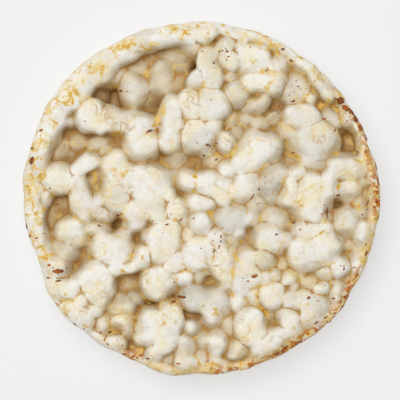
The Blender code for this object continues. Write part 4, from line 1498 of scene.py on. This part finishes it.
def bumped(tree, height, bump, inputs=None):
    """The surface's facing with a bump on it, over another bump if that is among the inputs."""
    strength, depth = bump
    inputs = {"Height": height, "Strength": strength, "Distance": depth, **(inputs or {})}
    return add_node(tree, "ShaderNodeBump", inputs).outputs["Normal"]


def starch_colour(tree, place, colours):
    """White starch with cream and pale yellow washes, and painted shade that turns it tan and darker where
    little sky is seen.
    """
    tint = attribute(tree, "tint")
    creamy = calculated(tree, "ADD", product(tree, tint, TINT_CREAM), patterned(tree, place, CREAM_PATCHES))
    colour = blended(tree, creamy, colours.starch, colours.cream)
    colour = blended(tree, patterned(tree, place, YELLOW_WASHES), colour, colours.wash)
    colour = multiplied(tree, colour, ramped(tree, tint, GRAIN_TONES))
    colour = blended(tree, attribute(tree, "grey"), colour, multiplied(tree, colour, colours.grey))
    sky = calculated(tree, "ADD", attribute(tree, "sky"), patterned(tree, place, UNEVEN_SHADE))
    # Painted shade: the colour is darkened and turned tan where little sky is seen.
    return multiplied(tree, colour, ramped(tree, sky, PAINTED_SKY_SHADE))


def seamed_colour(tree, place, colour, colours):
    """Painted shade on the flanks near a seam, and thin lines where grains meet, partly brown husk and
    partly painted shade in the folds, stronger in some places.
    """
    seam = attribute(tree, "seam")
    # Painted shade: the flanks near a seam, in the valleys, are darkened and turned tan.
    flank_shade = product(tree, eased(tree, seam, *FLANK_SHADE_SPAN), attribute(tree, "valley"))
    shaded_flanks = blended(tree, flank_shade, colour, multiplied(tree, colour, colours.flank_shade))
    strength = patterned(tree, place, SEAM_STRENGTH)
    # The lines follow the folds: partly brown husk, partly painted shade in the creases.
    line = product(tree, eased(tree, seam, *SEAM_SPAN), strength, attribute(tree, "fold"))
    seam_husk_and_shade = blended(tree, patterned(tree, place, RUSTY_PLACES), colours.crease_husk_and_shade, colours.toast)
    return blended(tree, line, shaded_flanks, seam_husk_and_shade)


def folds(tree, place):
    """Long, fine folds that wander over the grains in patches: a thin line, and a wider groove round it."""
    wandering = warped(tree, place, *FOLD_WARP)
    patch = patterned(tree, place, FOLDED_PLACES)
    line = product(tree, net_lines(tree, wandering, FOLD_CELLS, FOLD_WIDTH), patch)
    groove = product(tree, net_lines(tree, wandering, FOLD_CELLS, GROOVE_WIDTH), patch)
    return line, groove


def folded_colour(tree, place, line, colour, colours):
    """Golden folds, browner in places."""
    tone = blended(tree, patterned(tree, place, BROWN_FOLDS), colours.gold, colours.crease_husk_and_shade)
    return blended(tree, product(tree, line, FOLD_GOLD), colour, tone)


def veined_colour(tree, place, colour, colours):
    """Fine yellow squiggles with a golden edge, in patches, most of them on the rim."""
    net = net_lines(tree, warped(tree, place, *VEIN_WARP), VEIN_CELLS, VEIN_WIDTH)
    lack = eased(tree, attribute(tree, "veins"), 0.0, 1.0, *VEIN_LACK)
    patch = eased(tree, calculated(tree, "ADD", noise(tree, place, *VEIN_NOISE), lack), *VEIN_SPAN)
    gilded = blended(tree, product(tree, net, patch, VEIN_GOLD), colour, colours.gold)
    core = product(tree, eased(tree, net, *VEIN_CORE), patch, patterned(tree, place, DEEP_VEINS))
    return blended(tree, core, gilded, colours.vein)


def stained_colour(tree, place, colour, colours):
    """Stains of husk with broken edges, from gold through yellow to orange."""
    broken = calculated(tree, "ADD", attribute(tree, "stain"), patterned(tree, place, STAIN_EDGES))
    orange = attribute(tree, "orange")
    tone = blended(tree, eased(tree, orange, *STAIN_YELLOW), colours.gold, colours.vein)
    tone = blended(tree, eased(tree, orange, *STAIN_ORANGE), tone, colours.toast)
    return blended(tree, product(tree, eased(tree, broken, *STAINED_SPAN), STAIN_COVER), colour, tone)


def toasted_colour(tree, place, colour, colours):
    """The browned edge, in streaks and spots, from gold through orange to nearly black."""
    toast = attribute(tree, "toast")
    gilded = product(tree, toast, patterned(tree, place, TOAST_GOLD))
    colour = blended(tree, gilded, colour, colours.gold)
    patches = patterned(tree, place, TOAST_PATCHES)
    share = product(tree, toast, patches, patterned(tree, place, TOAST_STREAKS))
    depth = noise(tree, place, *TOAST_DEPTHS)
    tone = blended(tree, eased(tree, depth, *TOAST_ORANGE), colours.vein, colours.toast)
    tone = blended(tree, eased(tree, depth, *TOAST_DARK), tone, colours.bran)
    return blended(tree, share, colour, tone)


def speckled_colour(tree, place, colour, colours):
    """Tiny brown specks, in clusters and on the greyer grains, and an uneven grain all over."""
    cells = add_node(tree, "ShaderNodeTexVoronoi", {"Vector": place, "Scale": SPECK_CELLS})
    dots = eased(tree, cells.outputs["Distance"], *SPECK_SIZES, 1.0, 0.0)
    pitted = product(tree, attribute(tree, "grey"), patterned(tree, place, GREY_PITS))
    patches = calculated(tree, "ADD", patterned(tree, place, SPECK_CLUSTERS), pitted)
    speckled = blended(tree, product(tree, dots, patches, SPECK_COVER), colour, colours.bran)
    return multiplied(tree, speckled, ramped(tree, noise(tree, place, *MOTTLE_NOISE), MOTTLE))


def grain_material(colours):
    """Dry puffed starch: matt, a little translucent, wrinkled and pitted."""
    material, tree, shader = new_material("puffed_grain")
    place = object_place(tree)
    line, groove = folds(tree, place)
    colour = starch_colour(tree, place, colours)
    colour = seamed_colour(tree, place, colour, colours)
    colour = folded_colour(tree, place, line, colour, colours)
    for look in (veined_colour, stained_colour, toasted_colour, speckled_colour):
        colour = look(tree, place, colour, colours)
    height = calculated(tree, "SUBTRACT", noise(tree, place, *WRINKLES), product(tree, groove, GROOVE_DEPTH))
    wrinkled = bumped(tree, height, WRINKLE_BUMP)
    feed_all(tree, shader, {
        "Base Color": colour,
        "Roughness": patterned(tree, place, GRAIN_ROUGHNESS),
        "Normal": bumped(tree, noise(tree, place, *PORES), PORE_BUMP, {"Normal": wrinkled}),
        "Specular IOR Level": 0.3,
        "Subsurface Weight": 0.25,
        "Subsurface Radius": (1.0, 0.6, 0.35),
        "Subsurface Scale": 0.0006,
    })
    return material


def fleck_material(colours):
    """Thin brown husk, paler in places."""
    material, tree, shader = new_material("bran_flecks")
    place = object_place(tree)
    feed_all(tree, shader, {
        "Base Color": blended(tree, patterned(tree, place, PALE_HUSK), colours.bran, colours.toast),
        "Roughness": patterned(tree, place, FLECK_ROUGHNESS),
        "Normal": bumped(tree, noise(tree, place, *HUSK), HUSK_BUMP),
        "Specular IOR Level": 0.35,
    })
    return material


def floor_material():
    """Pale and matt, with a faint light of its own."""
    material, tree, shader = new_material("pale_floor")
    feed_all(tree, shader, {
        "Base Color": FLOOR_GREY,
        "Emission Color": WHITE,
        "Emission Strength": FLOOR_GLOW,
        "Roughness": 0.9,
        "Specular IOR Level": 0.1,
    })
    return material


# ---- the stage ----

def make_floor(size):
    """A pale square floor under the cake."""
    mesh = bmesh.new()
    bmesh.ops.create_grid(mesh, x_segments=1, y_segments=1, size=size / 2)
    data = bpy.data.meshes.new("floor")
    mesh.to_mesh(data)
    mesh.free()
    data.materials.append(floor_material())
    floor = bpy.data.objects.new("floor", data)
    bpy.context.scene.collection.objects.link(floor)


def make_lights(stage):
    """Even light from all round, and a big soft light high on the left at the back."""
    world = bpy.data.worlds.new("soft_sky")
    world.use_nodes = True
    background = world.node_tree.nodes["Background"]
    feed_all(world.node_tree, background, {"Color": WHITE, "Strength": stage.sky})
    bpy.context.scene.world = world
    light = bpy.data.lights.new("key", "AREA")
    light.shape = "DISK"
    light.size = stage.key_size
    light.energy = stage.key_power
    key = bpy.data.objects.new("key", light)
    key.location = KEY_PLACE
    key.rotation_euler = (-KEY_PLACE).to_track_quat("-Z", "Y").to_euler()
    bpy.context.scene.collection.objects.link(key)


def make_camera(scene, stage):
    """A camera that looks straight down."""
    data = bpy.data.cameras.new("camera")
    data.lens = stage.lens
    data.clip_start = CAMERA_NEAR
    camera = bpy.data.objects.new("camera", data)
    camera.location = (*CAMERA_PLACE, stage.camera_height)
    scene.collection.objects.link(camera)
    scene.camera = camera
    scene.view_settings.view_transform = "Standard"


# ---- operators ----

def place_piece(name, mesh, material):
    """An object that rides on the cake's one body."""
    piece = bpy.data.objects.new(name, mesh)
    bpy.context.scene.collection.objects.link(piece)
    mesh.materials.clear()
    mesh.materials.append(material)
    mesh.shade_smooth()
    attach(piece, "root")
    return piece


class RICECAKE_OT_puffed_grains(bpy.types.Operator):
    """Fuse the puffed grains into the cake's skin"""
    bl_idname = "rice_cake.puffed_grains"
    bl_label = "Puffed Grains"

    def execute(self, context):
        shape = context.scene.rice_cake_shape
        grains = all_grains()
        field, lines = cake_field(grains, shape.voxel / MM)
        skin = finished_skin(shape, field, lines)
        paint_skin(skin, field, lines, grains)
        piece = place_piece("puffed_grains", skin, grain_material(context.scene.rice_cake_colours))
        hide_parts(NODE)
        return {"FINISHED"}


class RICECAKE_OT_bran_flecks(bpy.types.Operator):
    """Lay flecks of bran on the cake's skin"""
    bl_idname = "rice_cake.bran_flecks"
    bl_label = "Bran Flecks"

    def execute(self, context):
        skin = bpy.data.objects.get("puffed_grains")
        if skin is None:
            raise RuntimeError("The puffed grains have to be made first")
        mesh = fleck_mesh(skin, context.scene.rice_cake_shape.flecks)
        place_piece("bran_flecks", mesh, fleck_material(context.scene.rice_cake_colours))
        return {"FINISHED"}


class RICECAKE_OT_stage(bpy.types.Operator):
    """Set the floor, the soft light and the camera straight above"""
    bl_idname = "rice_cake.stage"
    bl_label = "Stage"

    def execute(self, context):
        stage = context.scene.rice_cake_stage
        make_floor(stage.floor_size)
        make_lights(stage)
        make_camera(context.scene, stage)
        return {"FINISHED"}


class RICECAKE_PT_panel(bpy.types.Panel):
    """Settings and buttons for the cake's pieces and the stage"""
    bl_idname = "RICECAKE_PT_panel"
    bl_label = "Rice Cake"
    bl_space_type = "VIEW_3D"
    bl_region_type = "UI"
    bl_category = "Rice Cake"

    def draw(self, context):
        scene = context.scene
        for group in (scene.rice_cake_shape, scene.rice_cake_colours, scene.rice_cake_stage):
            box = self.layout.box()
            for name in group.bl_rna.properties.keys():
                if name not in ("rna_type", "name"):
                    box.prop(group, name)
        for maker in MAKERS:
            self.layout.operator(maker.bl_idname)


MAKERS = (RICECAKE_OT_puffed_grains, RICECAKE_OT_bran_flecks, RICECAKE_OT_stage)
CLASSES = (RiceCakeShape, RiceCakeColours, RiceCakeStage, *MAKERS, RICECAKE_PT_panel)


def register():
    for item in CLASSES:
        bpy.utils.register_class(item)
    bpy.types.Scene.rice_cake_shape = bpy.props.PointerProperty(type=RiceCakeShape)
    bpy.types.Scene.rice_cake_colours = bpy.props.PointerProperty(type=RiceCakeColours)
    bpy.types.Scene.rice_cake_stage = bpy.props.PointerProperty(type=RiceCakeStage)


def unregister():
    del bpy.types.Scene.rice_cake_stage
    del bpy.types.Scene.rice_cake_colours
    del bpy.types.Scene.rice_cake_shape
    for item in reversed(CLASSES):
        bpy.utils.unregister_class(item)


def main():
    register()
    bpy.ops.rice_cake.puffed_grains()
    bpy.ops.rice_cake.bran_flecks()
    bpy.ops.rice_cake.stage()


if __name__ == "__main__":
    main()
